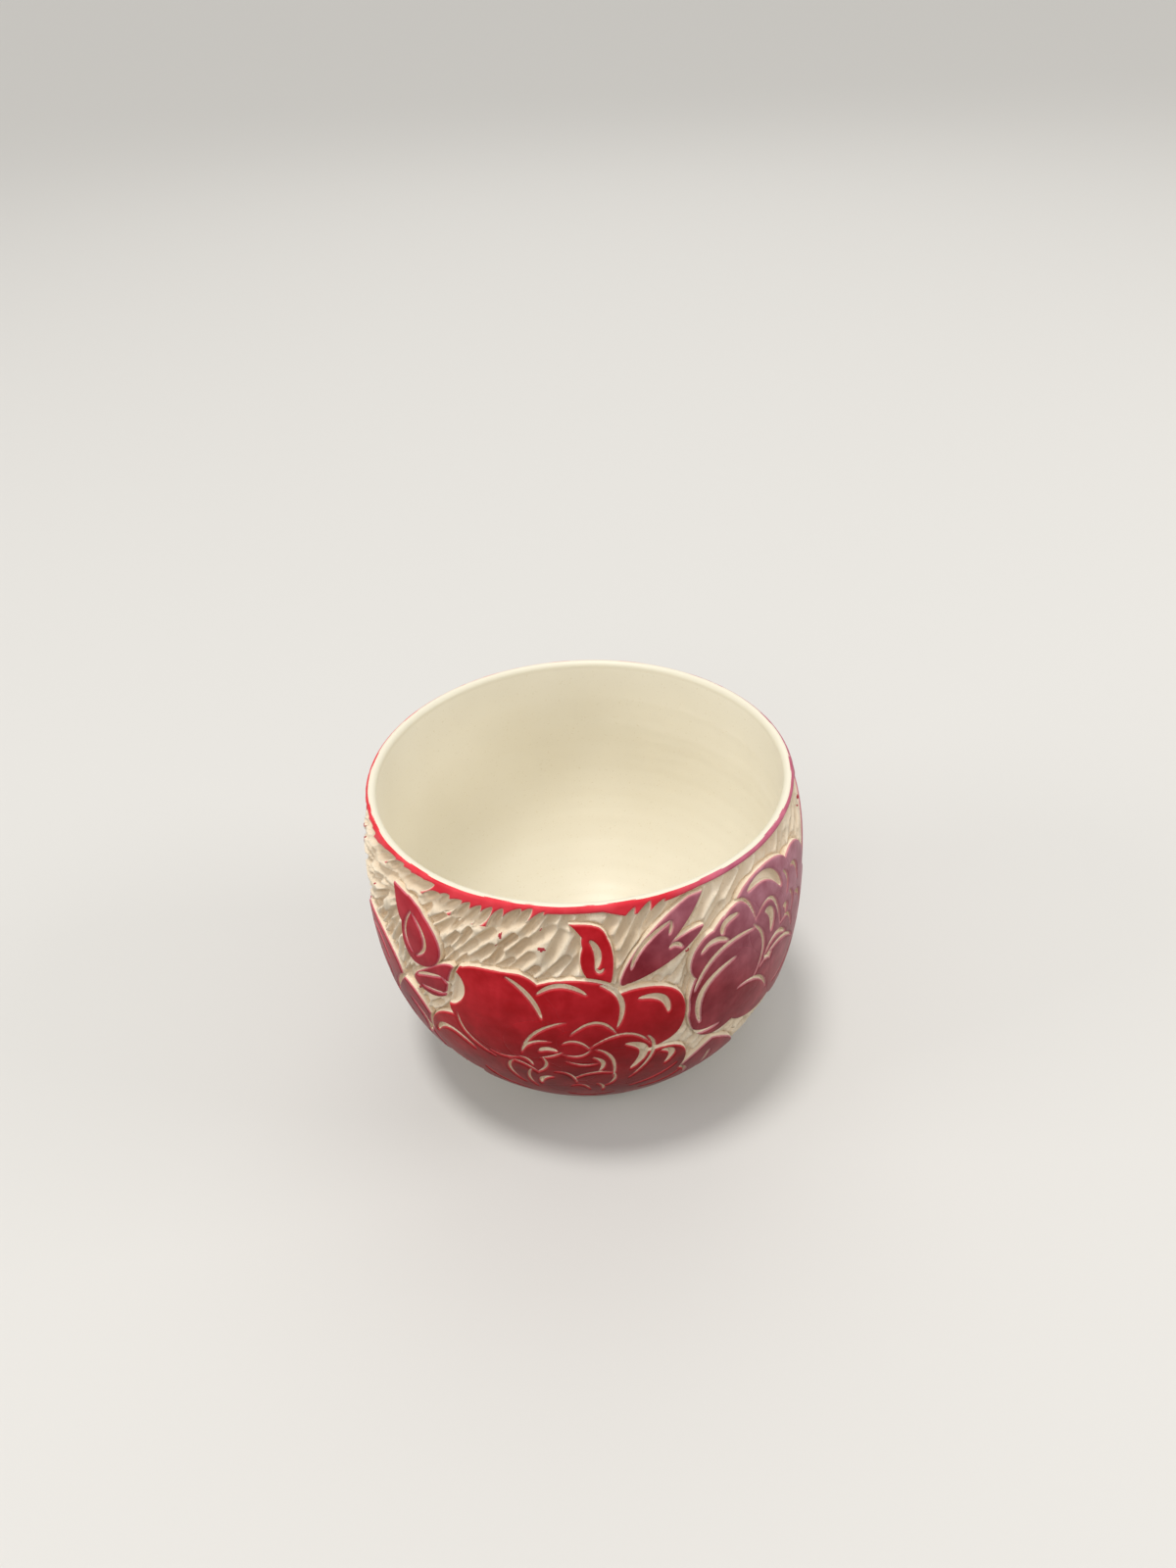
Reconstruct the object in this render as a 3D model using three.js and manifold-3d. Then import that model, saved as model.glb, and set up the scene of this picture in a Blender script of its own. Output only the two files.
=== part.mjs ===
// Handleless stoneware beaker with carved slip peonies. Millimetres, +Z up,
// origin under the middle of the foot, the front of the cup towards -Y.
import * as THREE from 'three';
import { mergeVertices } from 'three/addons/utils/BufferGeometryUtils.js';
import Module from 'manifold-3d';

const wasm = await Module();
wasm.setup();

// Thrown form: the outer wall runs from the foot over the belly to the rim
const height = 64;
const rimRadius = 40;
const bellyRadius = 42.8;
const bellyHeight = 41.4;
const footRadius = 24.8;
const footFlare = THREE.MathUtils.degToRad(47);
const rimLean = THREE.MathUtils.degToRad(18.6);
const footSweep = 19;
const underBellySweep = 21.2;
const overBellySweep = 9.5;
const rimSweep = 6.8;

// Walls and floor
const lipThickness = 2;
const bellyWall = 4.2;
const floorThickness = 5.4;
const floorSpread = 24;
const bowlSweep = 23;
const lipSweep = 9;

// Trimmed foot
const footRingWidth = 4.4;
const footChamfer = 0.5;
const footRecess = 1.8;
const footRecessSlope = 0.7;

// Slip coat, carved ground and glaze
const coatThickness = 0.9;
const bandThickness = 0.45;
const seatGap = 0.3;
const glazeThickness = 0.3;
const glazeBelowLip = 1.2;
const bareFoot = 5;
const groundRamp = 1.4;
const bandWidth = 4.2;
const grooveWidth = 0.9;

// How far the cutters reach past the coat, enough for the wall's curve across the widest petal
const cutterInside = 4;
const cutterOutside = 9;

// Teeth that the gouge leaves along the rim band
const toothCount = 28;
const toothGap = 3.8;
const toothRoot = 1.1;
const toothSlant = 1.6;
const toothVariation = 0.6;
const toothRhythm = 2.4;

// Gouge strokes over the open ground, in staggered rows. A stroke is deepest at its keel.
const gougeLength = 7.4;
const gougeWidth = 3.2;
const gougeDepth = 0.8;
const gougeKeel = 0.42;
const gougeLift = 0.4;
const gougePitchRound = 4.85;
const gougePitchUp = 5.2;
const gougeLowest = 30;
const gougeHeadings = [
  { turn: -150, heading: 38 },
  { turn: -72, heading: 80 },
  { turn: -22, heading: 32 },
  { turn: 10, heading: 24 },
  { turn: 34, heading: 52 },
  { turn: 75, heading: 46 },
  { turn: 130, heading: 30 },
];

// Facets
const turns = 36;
const wallRings = 6;
const bowlRings = 5;
const lipFacets = 2;
const petalPoints = 13;
const scallopPoints = 5;
const strokePoints = 3;
const toothPoints = 2;

const finish = (color, roughness) => new THREE.MeshStandardMaterial({ color, roughness, metalness: 0 });
const materials = {
  clay: finish(0xd8cbb0, 0.75),
  glaze: finish(0xefe6cc, 0.15),
  band: finish(0xc93a40, 0.38),
  red: finish(0xa51f2a, 0.38),
  rose: finish(0xb03a4a, 0.38),
  plum: finish(0x7a3a50, 0.4),
};

// Wall and bowl curves, as radius and height
const v2 = (x, y) => new THREE.Vector2(x, y);
const lipRadius = lipThickness / 2;
const lipCentre = v2(rimRadius - lipRadius * Math.cos(rimLean), height - lipRadius);
const wallTop = v2(rimRadius, lipCentre.y + lipRadius * Math.sin(rimLean));
const foot = v2(footRadius, 0);
const belly = v2(bellyRadius, bellyHeight);
const wall = new THREE.CurvePath();
wall.add(new THREE.CubicBezierCurve(
  foot, v2(footRadius + footSweep * Math.cos(footFlare), footSweep * Math.sin(footFlare)),
  v2(bellyRadius, bellyHeight - underBellySweep), belly));
wall.add(new THREE.CubicBezierCurve(
  belly, v2(bellyRadius, bellyHeight + overBellySweep),
  v2(rimRadius + rimSweep * Math.sin(rimLean), wallTop.y - rimSweep * Math.cos(rimLean)), wallTop));
const wallLength = wall.getLength();
const bandFoot = wallLength - bandWidth;

const floorHeight = footRecess + floorThickness;
const bowlBelly = v2(bellyRadius - bellyWall, bellyHeight);
const bowlTop = v2(lipCentre.x - lipRadius, height - glazeBelowLip);
const bowl = new THREE.CurvePath();
bowl.add(new THREE.CubicBezierCurve(
  v2(0, floorHeight), v2(floorSpread, floorHeight), v2(bowlBelly.x, bowlBelly.y - bowlSweep), bowlBelly));
bowl.add(new THREE.CubicBezierCurve(
  bowlBelly, v2(bowlBelly.x, bowlBelly.y + lipSweep), v2(bowlTop.x, bowlTop.y - lipSweep), bowlTop));

/** Point at a length along a profile curve, pushed out square to it. Past the ends it runs on straight. */
function profilePoint(curve, along, out = 0) {
  const share = THREE.MathUtils.clamp(along / curve.getLength(), 0, 1);
  const tangent = curve.getTangent(share);
  const point = curve.getPoint(share).addScaledVector(tangent, along - share * curve.getLength());
  return point.add(v2(tangent.y, -tangent.x).multiplyScalar(out));
}

/** Depth of the carved ground under the coat's outer face, at a length above the foot along the wall. */
function groundDepth(along) {
  const { smoothstep, lerp } = THREE.MathUtils;
  const slip = lerp(coatThickness, bandThickness, smoothstep(along, bandFoot - groundRamp, bandFoot));
  return (slip + seatGap) * smoothstep(along, bareFoot, bareFoot + groundRamp);
}

const coatBack = (along) => seatGap - groundDepth(along);
const coatTop = wallLength - toothRoot;

/** Evenly spaced values from one to another, both ends included. */
function spread(from, to, count) {
  return Array.from({ length: count + 1 }, (_, i) => THREE.MathUtils.lerp(from, to, i / count));
}

// Stations up the carved ground. The clay and the slip over it share them, so that their gap stays even.
const groundStations = [...spread(bareFoot + groundRamp, bandFoot - groundRamp, wallRings), bandFoot];

/** Merges shared corners and leaves out triangles that shrink to a line on the axis. */
function weld(geometry) {
  const bare = geometry.clone();
  bare.deleteAttribute('normal');
  bare.deleteAttribute('uv');
  const merged = mergeVertices(bare, 1e-3);
  const kept = [];
  const index = merged.index.array;
  for (let i = 0; i < index.length; i += 3) {
    const [a, b, c] = index.slice(i, i + 3);
    if (a !== b && b !== c && c !== a) kept.push(a, b, c);
  }
  merged.setIndex(kept);
  return merged;
}

/** The solid of a closed geometry, ready to be joined and cut. */
function toSolid(geometry) {
  const merged = weld(geometry);
  return new wasm.Manifold(new wasm.Mesh({
    numProp: 3,
    vertProperties: new Float32Array(merged.attributes.position.array),
    triVerts: new Uint32Array(merged.index.array),
  }));
}

/** The geometry of a solid, ready for a mesh. */
function toGeometry(solid) {
  const mesh = solid.getMesh();
  const geometry = new THREE.BufferGeometry();
  geometry.setAttribute('position', new THREE.BufferAttribute(new Float32Array(mesh.vertProperties), 3));
  geometry.setIndex(Array.from(mesh.triVerts));
  geometry.computeVertexNormals();
  return geometry;
}

/** Turns a profile of radii and heights about the cup's axis. */
const turned = (profile) => weld(new THREE.LatheGeometry(profile, turns).rotateX(Math.PI / 2));

/** Arc round the lip's centre between two angles, measured from straight out. */
const lipArc = (from, to) => spread(from, to, lipFacets).map((angle) =>
  lipCentre.clone().add(v2(Math.cos(angle), Math.sin(angle)).multiplyScalar(lipRadius)));

/** The thrown body before it is gouged: foot, sunk ground, round lip and a rebate inside for the glaze. */
function thrownBody() {
  const ringInside = footRadius - footRingWidth;
  const ground = [bareFoot, ...groundStations, wallLength];
  const lining = spread(bowl.getLength(), 0, bowlRings);
  return toSolid(turned([
    v2(0, footRecess),
    v2(ringInside - footRecessSlope, footRecess),
    v2(ringInside, 0),
    v2(footRadius - footChamfer, 0),
    profilePoint(wall, footChamfer),
    ...ground.map((along) => profilePoint(wall, along, -groundDepth(along))),
    ...lipArc(rimLean, Math.PI / 2),
    ...lipArc(Math.PI / 2, Math.PI).slice(1),
    bowlTop,
    ...lining.map((along) => profilePoint(bowl, along, glazeThickness + seatGap)),
  ]));
}

/** Clear glaze over the whole inside, from the middle of the floor to just under the lip. */
function glazeLining() {
  const topEdge = bowl.getLength() - seatGap;
  const lining = spread(0, topEdge, bowlRings);
  return turned([
    ...lining.map((along) => profilePoint(bowl, along, glazeThickness)),
    ...lining.reverse().map((along) => profilePoint(bowl, along)),
  ]);
}

/** A closed shell of slip through stations along the wall. */
function slipShell(stations) {
  const face = stations.map((along) => profilePoint(wall, along));
  const back = stations.map((along) => profilePoint(wall, along, coatBack(along))).reverse();
  return toSolid(new THREE.LatheGeometry([...face, ...back, face[0]], turns).rotateX(Math.PI / 2));
}

// Units that the pattern is drawn in. They follow the cup and are a millimetre long on one of this size.
const unitAcross = bellyRadius / 42.8;
const unitUp = wallLength / 68.9;

/** A place on the wall, round the belly from the front and up from the foot, moved by an offset. */
function place({ turn, rise }, offset) {
  const middle = v2(THREE.MathUtils.degToRad(turn) * bellyRadius, rise * wallLength);
  return middle.add(v2(offset.x * unitAcross, offset.y * unitUp));
}

/** Wraps a place on the wall on to the cup, pushed out square to the wall. */
function wrap(point, out) {
  const profile = profilePoint(wall, point.y, out);
  const angle = point.x / bellyRadius;
  return [profile.x * Math.sin(angle), -profile.x * Math.cos(angle), profile.y];
}

/** A cutter that goes through the coat square to the wall. Its section is a closed outline on the wall. */
function cutter(outline) {
  const count = outline.length;
  const ring = (out) => outline.flatMap((point) => wrap(point, out));
  const ends = THREE.ShapeUtils.triangulateShape(outline, []).flatMap(([a, b, c]) =>
    [c, b, a, a + count, b + count, c + count]);
  const sides = outline.flatMap((_, i) => {
    const next = (i + 1) % count;
    return [i, next, next + count, i, next + count, i + count];
  });
  const geometry = new THREE.BufferGeometry();
  const corners = [...ring(-cutterInside), ...ring(cutterOutside)];
  geometry.setAttribute('position', new THREE.Float32BufferAttribute(corners, 3));
  geometry.setIndex([...ends, ...sides]);
  return toSolid(geometry);
}

/** Pushes a closed outline, drawn anticlockwise, outwards. */
function grown(outline, distance) {
  const count = outline.length;
  return outline.map((point, i) => {
    const along = outline[(i + 1) % count].clone().sub(outline[(i + count - 1) % count]).normalize();
    return v2(point.x + along.y * distance, point.y - along.x * distance);
  });
}

/** Turns an offset clockwise by a heading in degrees, 0 being straight up the wall. */
const headed = (offset, heading) => offset.rotateAround(v2(0, 0), -THREE.MathUtils.degToRad(heading));

/**
 * Outline of a petal or leaf, anticlockwise from its base. It is an egg with its broad end at the tip when
 * full is above 0, drawn out to a point when point is above 0, scalloped along the tip and bent by curl.
 */
function petalOutline(shape) {
  const { base, heading, length, width } = shape;
  const { full = 0.35, point = 0, lobes = 0, lobeDepth = 0, curl = 0 } = shape;
  return Array.from({ length: petalPoints }, (_, i) => {
    const angle = (2 * Math.PI * (i + 0.5)) / petalPoints;
    const tipward = (1 - Math.cos(angle)) / 2;
    const taper = (1 - tipward) ** point;
    const ripple = lobeDepth * Math.cos(lobes * (angle - Math.PI)) * tipward ** 2;
    const halfWidth = (width / 2) * Math.sin(angle) * (1 - full * Math.cos(angle)) * taper;
    return headed(v2(halfWidth + curl * tipward ** 2, length * tipward + ripple), heading).add(base);
  });
}

/** Outline of a whole flower head: a round with scallops, each a petal's edge. */
function corollaOutline({ radius, scallops, scallopDepth, heading }) {
  const count = scallops * scallopPoints;
  return Array.from({ length: count }, (_, i) => {
    const angle = (2 * Math.PI * (i + 0.5)) / count;
    const turn = angle - THREE.MathUtils.degToRad(heading);
    const edge = Math.sqrt(Math.abs(Math.cos((scallops * turn) / 2)));
    return polar(angle, radius * (1 - scallopDepth * (1 - edge)));
  });
}

/** Outline of one cut: a lens from one end to the other, bowed to its right when bow is above 0. */
function strokeOutline({ from, to, bow, width }, points = strokePoints) {
  const run = to.clone().sub(from);
  const side = v2(run.y, -run.x).normalize();
  const edge = (sign) => spread(0, 1, points).map((share) => {
    const out = (bow + (sign * width) / 2) * Math.sin(Math.PI * share);
    return from.clone().addScaledVector(run, share).addScaledVector(side, out);
  });
  return [...edge(1), ...edge(-1).reverse().slice(1, -1)];
}

const polar = (angle, radius) => v2(radius * Math.cos(angle), radius * Math.sin(angle));
const stroke = (from, to, bow, width) => ({ from: v2(...from), to: v2(...to), bow, width });

/** One petal of a flower, with its base given from the flower's middle. */
function petal(name, base, heading, length, width, strokes = [], shape = {}) {
  return { name, shape: { base: v2(...base), heading, length, width, ...shape }, strokes };
}

/** A second tip of a petal or leaf, joined to it. */
function lobe(base, heading, length, width, shape = {}) {
  return { base: v2(...base), heading, length, width, full: 0.1, point: 0.35, ...shape };
}

/** Petals that share a colour and a middle on the wall, the front one first. */
function flower(colour, anchor, petals) {
  return petals.map((piece) => ({ ...piece, colour, anchor }));
}

/**
 * One peony of the sides and the back: a heart and a scalloped head with a groove between every two petals.
 * A groove sets out on a twist and straightens towards the edge.
 */
function peony(name, colour, anchor, radius, heading) {
  const [scallops, scallopDepth] = [5, 0.2];
  const [heartSize, heartDrop] = [0.56 * radius, 0.3 * radius];
  const [grooveFoot, grooveTip, twist] = [0.42 * radius, 0.86 * radius, 0.25];
  const [foldStart, foldEnd] = [polar(0.2, 0.16 * radius), polar(2.4, 0.1 * radius)];
  const cutShape = { bow: 0.09 * radius, width: 1.1 };
  const partings = spread(0, scallops - 1, scallops - 1).map((i) => {
    const angle = THREE.MathUtils.degToRad(heading) + ((2 * i + 1) * Math.PI) / scallops;
    return { from: polar(angle - twist, grooveFoot), to: polar(angle, grooveTip), ...cutShape };
  });
  const fold = { ...cutShape, from: foldStart, to: foldEnd };
  return flower(colour, anchor, [
    petal(`${name}_heart`, [0, -heartDrop], heading / 3, heartSize, heartSize, [fold]),
    { name: `${name}_corolla`, corolla: { radius, scallops, scallopDepth, heading }, strokes: partings },
  ]);
}

/** A pointed leaf from its stalk end, with one cut vein that bends with it. */
function leaf(name, colour, anchor, heading, length, width, curl = 0, { full = 0.1, point = 0.35 } = {}) {
  const [veinStart, veinEnd, veinBow] = [0.18, 0.76, 0.04];
  const at = (share) => headed(v2(curl * share ** 2, length * share), heading);
  const vein = { from: at(veinStart), to: at(veinEnd), bow: veinBow * length, width: 1.4 };
  const shape = { base: v2(0, 0), heading, length, width, full, point, curl };
  return { name, colour, anchor, shape, strokes: [vein] };
}

// Pattern. Anchors are degrees round the cup from the front and shares of the way up the wall. Offsets and
// sizes are in pattern units. What comes first lies in front, and a groove parts it from what is behind.
const redPeony = flower('red', { turn: -3.3, rise: 0.45 }, [
  petal('red_heart_core', [0, -3.5], 0, 7.5, 7.5),
  petal('red_heart_right', [1, -4.5], 55, 14, 13.5, [stroke([8.1, 7], [10.1, 0.5], 1.3, 1.9)]),
  petal('red_heart_left', [-0.5, -3], -78, 13.5, 10.5, [stroke([-9.5, -4.5], [-6.9, -1.4], 0.9, 1.2)]),
  petal('red_heart_top', [1.5, 1], 2, 12.5, 11.5),
  petal('red_heart_crest', [-0.5, 0], -40, 17, 12.5, [stroke([-7.1, 6.6], [-3.7, 7.2], 0.2, 1.3)]),
  petal('red_heart_low', [0.5, 0], 188, 10.5, 13),
  {
    ...petal('red_petal_left', [-4, 3], -40, 25, 20.5, [], { lobes: 5, lobeDepth: 1 }),
    lobe: lobe([-16, 14], -28, 10.4, 11),
  },
  petal('red_petal_top', [-0.5, 8], -3, 16.2, 16.5, [stroke([-6.8, 21.4], [1.7, 21.2], -1.2, 1.4)]),
  petal('red_petal_right', [3.5, 6.5], 50, 17.6, 15, [stroke([10.7, 19.2], [16.1, 14.2], -1.3, 1.5)]),
  petal('red_petal_far_right', [5.5, 0], 106, 15, 13.5, [stroke([15.4, 3.4], [16.1, -1.2], -1.1, 1.9)]),
  petal('red_petal_low', [0.5, -5], 183, 19.5, 17),
  petal('red_petal_low_left', [-2.5, -3], -130, 23, 18),
  petal('red_petal_low_right', [4.5, -3], 137, 20, 17),
  petal('red_petal_far_left', [-9.5, -5], -66, 23, 17, [stroke([-30.5, 0.6], [-21.5, 2.4], -2, 1.3)]),
]);

const plumPeony = flower('plum', { turn: 51.5, rise: 0.668 }, [
  petal('plum_heart_core', [0, -1.5], 10, 8, 7.5),
  petal('plum_heart_crest', [-1.5, -1], -3, 13.5, 11, [stroke([-3.9, 5.5], [-3.6, 10.4], -0.8, 1.2)]),
  petal('plum_heart_right', [-0.5, 0], 72, 13, 10.5),
  petal('plum_petal_left', [-2.5, -2.5], -88, 18.5, 19.5, [stroke([-18, -6.5], [-11.1, 4.9], -2.6, 1.3)]),
  petal('plum_petal_upper_left', [-5, 2.5], -40, 15, 13, [stroke([-14.5, 12.6], [-10.3, 14.4], -0.8, 1.1)]),
  petal('plum_petal_top', [-2.5, 3.5], 2, 15.8, 16.5, [stroke([-6.9, 16.9], [2.9, 12.2], -1.9, 1.4)]),
  petal('plum_petal_small', [-8, 3.5], -60, 13.5, 10, [stroke([-18.5, 10], [-13.5, 10.2], -0.6, 1.1)]),
  petal('plum_petal_right', [2.5, 3.5], 50, 15.5, 14, [stroke([9, 14], [13.7, 9.6], -1.2, 1.3)]),
  petal('plum_petal_low_right', [0.5, -1], 140, 16.5, 15, [stroke([2.5, -1.8], [9.5, -4.4], -1.4, 1.4)]),
  petal('plum_petal_low_left', [-2, -2], 196, 13, 14),
  petal('plum_petal_far_right', [3.5, 0.5], 94, 16, 14),
]);

const budLeaf = {
  ...leaf('leaf_bud', 'rose', { turn: -40.4, rise: 0.737 }, -39, 13.3, 12.6, 4, { full: -0.14, point: 0.3 }),
  strokes: [stroke([-5.6, 9.2], [-3.2, 9.6], 7.2, 1.5)],
  lobe: lobe([-3.1, 7.2], -39.5, 9, 7.8, { full: -0.45, curl: -1.3 }),
};
const curledLeaf = {
  ...leaf('leaf_curled', 'red', { turn: 3.6, rise: 0.773 }, -18, 11.2, 6, 2.3, { full: 0.28, point: 0.1 }),
  strokes: [stroke([-1.7, 8.9], [0.2, 3.8], 0.9, 1.5)],
  lobe: lobe([-0.9, 10.5], -49, 5.4, 4, { full: -0.2, point: 0.76, curl: -1.1 }),
};
const broadLeaf = {
  ...leaf('leaf_broad', 'plum', { turn: 7.2, rise: 0.776 }, 35.5, 22.1, 6.3, 4.8, { full: 0.42, point: 0.44 }),
  strokes: [stroke([2.2, 4.2], [9.2, 10.3], -1.2, 1.1)],
  lobe: lobe([0.5, 0.3], 59.5, 16.8, 3.9, { full: 0.41, curl: 1.1 }),
};
const leaves = [
  budLeaf,
  leaf('leaf_bud_low', 'rose', { turn: -47.7, rise: 0.65 }, 80, 12.3, 6.6, -5.5, { full: 0.25, point: 0 }),
  curledLeaf,
  broadLeaf,
  leaf('leaf_low', 'plum', { turn: 32.8, rise: 0.123 }, -2, 23.2, 22),
  leaf('leaf_side_up', 'plum', { turn: 88.4, rise: 0.595 }, 6, 22, 13, 2),
  leaf('leaf_side_low', 'red', { turn: 88.4, rise: 0.537 }, 172, 26, 16),
  leaf('leaf_back_up', 'rose', { turn: 171.4, rise: 0.668 }, -12, 19, 12, -2),
  leaf('leaf_back_low', 'plum', { turn: 171.4, rise: 0.595 }, 184, 29, 17),
  leaf('leaf_left_up', 'red', { turn: -103.1, rise: 0.639 }, 10, 19, 12, 2),
  leaf('leaf_left_low', 'rose', { turn: -105.8, rise: 0.566 }, 183, 27, 16),
];

const motifs = [
  ...redPeony,
  ...plumPeony,
  ...peony('rose', 'rose', { turn: -69.6, rise: 0.428 }, 20, 10),
  ...peony('back_red', 'red', { turn: 131.2, rise: 0.537 }, 23, 40),
  ...peony('back_plum', 'plum', { turn: -143.2, rise: 0.566 }, 23, -15),
  ...leaves,
];

/** What a groove cuts off as a sliver is carved away: the largest body stays. */
function largest(solid) {
  return solid.decompose().sort((a, b) => b.volume() - a.volume())[0];
}

/** Outlines of a motif's shapes on the wall. */
function outlinesOnWall({ anchor, shape, lobe, corolla }) {
  const outlines = corolla ? [corollaOutline(corolla)] : [shape, ...(lobe ? [lobe] : [])].map(petalOutline);
  return outlines.map((outline) => outline.map((point) => place(anchor, point)));
}

/** The island of slip that is left of one motif, and the cut that keeps what lies behind clear of it. */
function carve(motif, coat, inFront) {
  const outlines = outlinesOnWall(motif);
  const joined = (growth) => outlines.map((outline) => cutter(grown(outline, growth)))
    .reduce((whole, part) => whole.add(part));
  const strokes = motif.strokes.map((cut) =>
    cutter(strokeOutline(cut).map((point) => place(motif.anchor, point))));
  const uncut = coat.intersect(joined(0));
  const island = largest([...inFront, ...strokes].reduce((rest, cut) => rest.subtract(cut), uncut));
  return { island, clearance: joined(grooveWidth) };
}

/** Whether a place lies inside a closed outline. A line from it then crosses that an odd number of times. */
function inside(outline, point) {
  const crossed = outline.filter((a, i) => {
    const b = outline[(i + 1) % outline.length];
    const crossing = a.x + ((b.x - a.x) * (point.y - a.y)) / (b.y - a.y);
    return a.y > point.y !== b.y > point.y && point.x < crossing;
  });
  return crossed.length % 2 === 1;
}

/** Heading of the strokes at a turn round the cup: that of the nearest named one. */
function gougeHeading(turn) {
  const apart = (other) => Math.abs(THREE.MathUtils.euclideanModulo(turn - other + 180, 360) - 180);
  return gougeHeadings.reduce((best, next) => (apart(next.turn) < apart(best.turn) ? next : best)).heading;
}

/** Outline of one gouge stroke at the ground's surface, made larger or smaller about its keel. */
function gougeOutline({ middle, heading }, scale = 1) {
  const [back, ahead] = [-gougeKeel * gougeLength * scale, (1 - gougeKeel) * gougeLength * scale];
  const side = (gougeWidth / 2) * scale;
  const corners = [v2(0, back), v2(side, 0), v2(0, ahead), v2(-side, 0)];
  return corners.map((corner) => headed(corner, heading).add(middle));
}

/** Strokes that fit on the open ground between the motifs' outlines. */
function gougeStrokes(outlines) {
  const girth = 2 * Math.PI * bellyRadius;
  const perRow = Math.round(girth / gougePitchRound);
  const highest = bandFoot - gougeLength / 2;
  const rows = Math.floor((highest - gougeLowest) / gougePitchUp);
  const places = spread(0, rows, rows).flatMap((row) => spread(0, perRow - 1, perRow - 1).map((i) =>
    v2(((i + (row % 2) / 2) / perRow) * girth, highest - row * gougePitchUp)));
  const strokes = places.map((middle) =>
    ({ middle, heading: gougeHeading(THREE.MathUtils.radToDeg(middle.x / bellyRadius)) }));
  const turnsAway = [-girth, 0, girth].map((away) => v2(away, 0));
  const open = (point) => !turnsAway.some((away) =>
    outlines.some((outline) => inside(outline, point.clone().add(away))));
  return strokes.filter((stroke) => gougeOutline(stroke).every(open));
}

/** A cutter for one gouge stroke: a long pyramid down to its keel and a low one up over the ground. */
function gougeCutter(stroke) {
  const depth = groundDepth(stroke.middle.y);
  const scale = 1 + gougeLift / gougeDepth;
  const brim = gougeOutline(stroke, scale).map((point) => wrap(point, gougeLift - depth));
  const [keel, top] = [-depth - gougeDepth, coatThickness].map((out) => wrap(stroke.middle, out));
  const geometry = new THREE.BufferGeometry();
  geometry.setAttribute('position', new THREE.Float32BufferAttribute([...brim, keel, top].flat(), 3));
  geometry.setIndex([0, 1, 2, 3].flatMap((i) => [4, (i + 1) % 4, i, 5, i, (i + 1) % 4]));
  return toSolid(geometry);
}

/** The thrown body with the strokes that lowered its ground between the motifs. */
function clayBody(motifs) {
  const outlines = motifs.flatMap(outlinesOnWall).map((outline) => grown(outline, grooveWidth / 2));
  return gougeStrokes(outlines).map(gougeCutter).reduce((rest, cut) => rest.subtract(cut), thrownBody());
}

/** The band of slip under the lip, with the teeth that the gouge leaves where its strokes run into it. */
function rimBand(inFront) {
  const pitch = (2 * Math.PI * bellyRadius) / toothCount;
  const start = bandFoot - bandWidth;
  const gaps = spread(0, toothCount - 1, toothCount - 1).map((i) => {
    const reach = wallLength - toothRoot - toothVariation * (1 + Math.sin(toothRhythm * i));
    const cut = stroke([i * pitch, start], [i * pitch + toothSlant, reach], 0, toothGap);
    return cutter(strokeOutline(cut, toothPoints));
  });
  const ring = slipShell([bandFoot, wallLength]);
  return largest([...gaps, ...inFront].reduce((rest, cut) => rest.subtract(cut), ring));
}

const group = new THREE.Group();

/** Puts one named piece into the cup. */
function addPiece(name, geometry, material) {
  const mesh = new THREE.Mesh(geometry, material);
  mesh.name = name;
  group.add(mesh);
}

addPiece('clay_body', toGeometry(clayBody(motifs)), materials.clay);
addPiece('glaze_lining', glazeLining(), materials.glaze);

const coat = slipShell([...groundStations, coatTop]);
const clearances = [];
for (const motif of motifs) {
  const { island, clearance } = carve(motif, coat, clearances);
  clearances.push(clearance);
  addPiece(motif.name, toGeometry(island), materials[motif.colour]);
}
addPiece('rim_slip_band', toGeometry(rimBand(clearances)), materials.band);

export default group;
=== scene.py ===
"""Handleless stoneware beaker, carved through coloured slip into peonies and leaves.

The cup is thrown, coated with slip on the outside, and carved while leather hard, so that cream clay shows
between islands of red, rose and plum slip. Pattern places are millimetres on the unrolled wall: x round the
belly from the front, y up the wall from the foot. Meshes are metres, +Z up, with the front towards -Y.
"""

import logging
import math
from dataclasses import dataclass
from enum import Enum
from typing import Optional, Sequence

import bpy
import numpy as np
from mathutils import Matrix, Vector


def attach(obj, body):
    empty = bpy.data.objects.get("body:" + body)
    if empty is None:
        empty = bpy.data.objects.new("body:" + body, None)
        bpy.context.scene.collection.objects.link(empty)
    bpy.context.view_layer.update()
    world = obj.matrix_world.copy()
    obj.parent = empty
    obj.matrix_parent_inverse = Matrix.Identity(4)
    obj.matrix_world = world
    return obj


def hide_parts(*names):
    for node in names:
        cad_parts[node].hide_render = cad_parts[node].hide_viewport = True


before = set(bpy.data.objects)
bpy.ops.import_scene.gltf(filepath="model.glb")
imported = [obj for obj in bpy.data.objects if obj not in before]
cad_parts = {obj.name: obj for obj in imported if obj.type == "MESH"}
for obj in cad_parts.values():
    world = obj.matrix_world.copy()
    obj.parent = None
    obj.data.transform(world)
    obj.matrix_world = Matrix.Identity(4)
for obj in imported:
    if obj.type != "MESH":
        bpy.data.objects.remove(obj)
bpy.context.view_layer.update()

LOG = logging.getLogger("beaker")
Array = np.ndarray
Point = tuple[float, float]
Span = tuple[float, float]
MM = 0.001
FAR = 4.0
Socket = bpy.types.NodeSocket


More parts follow.
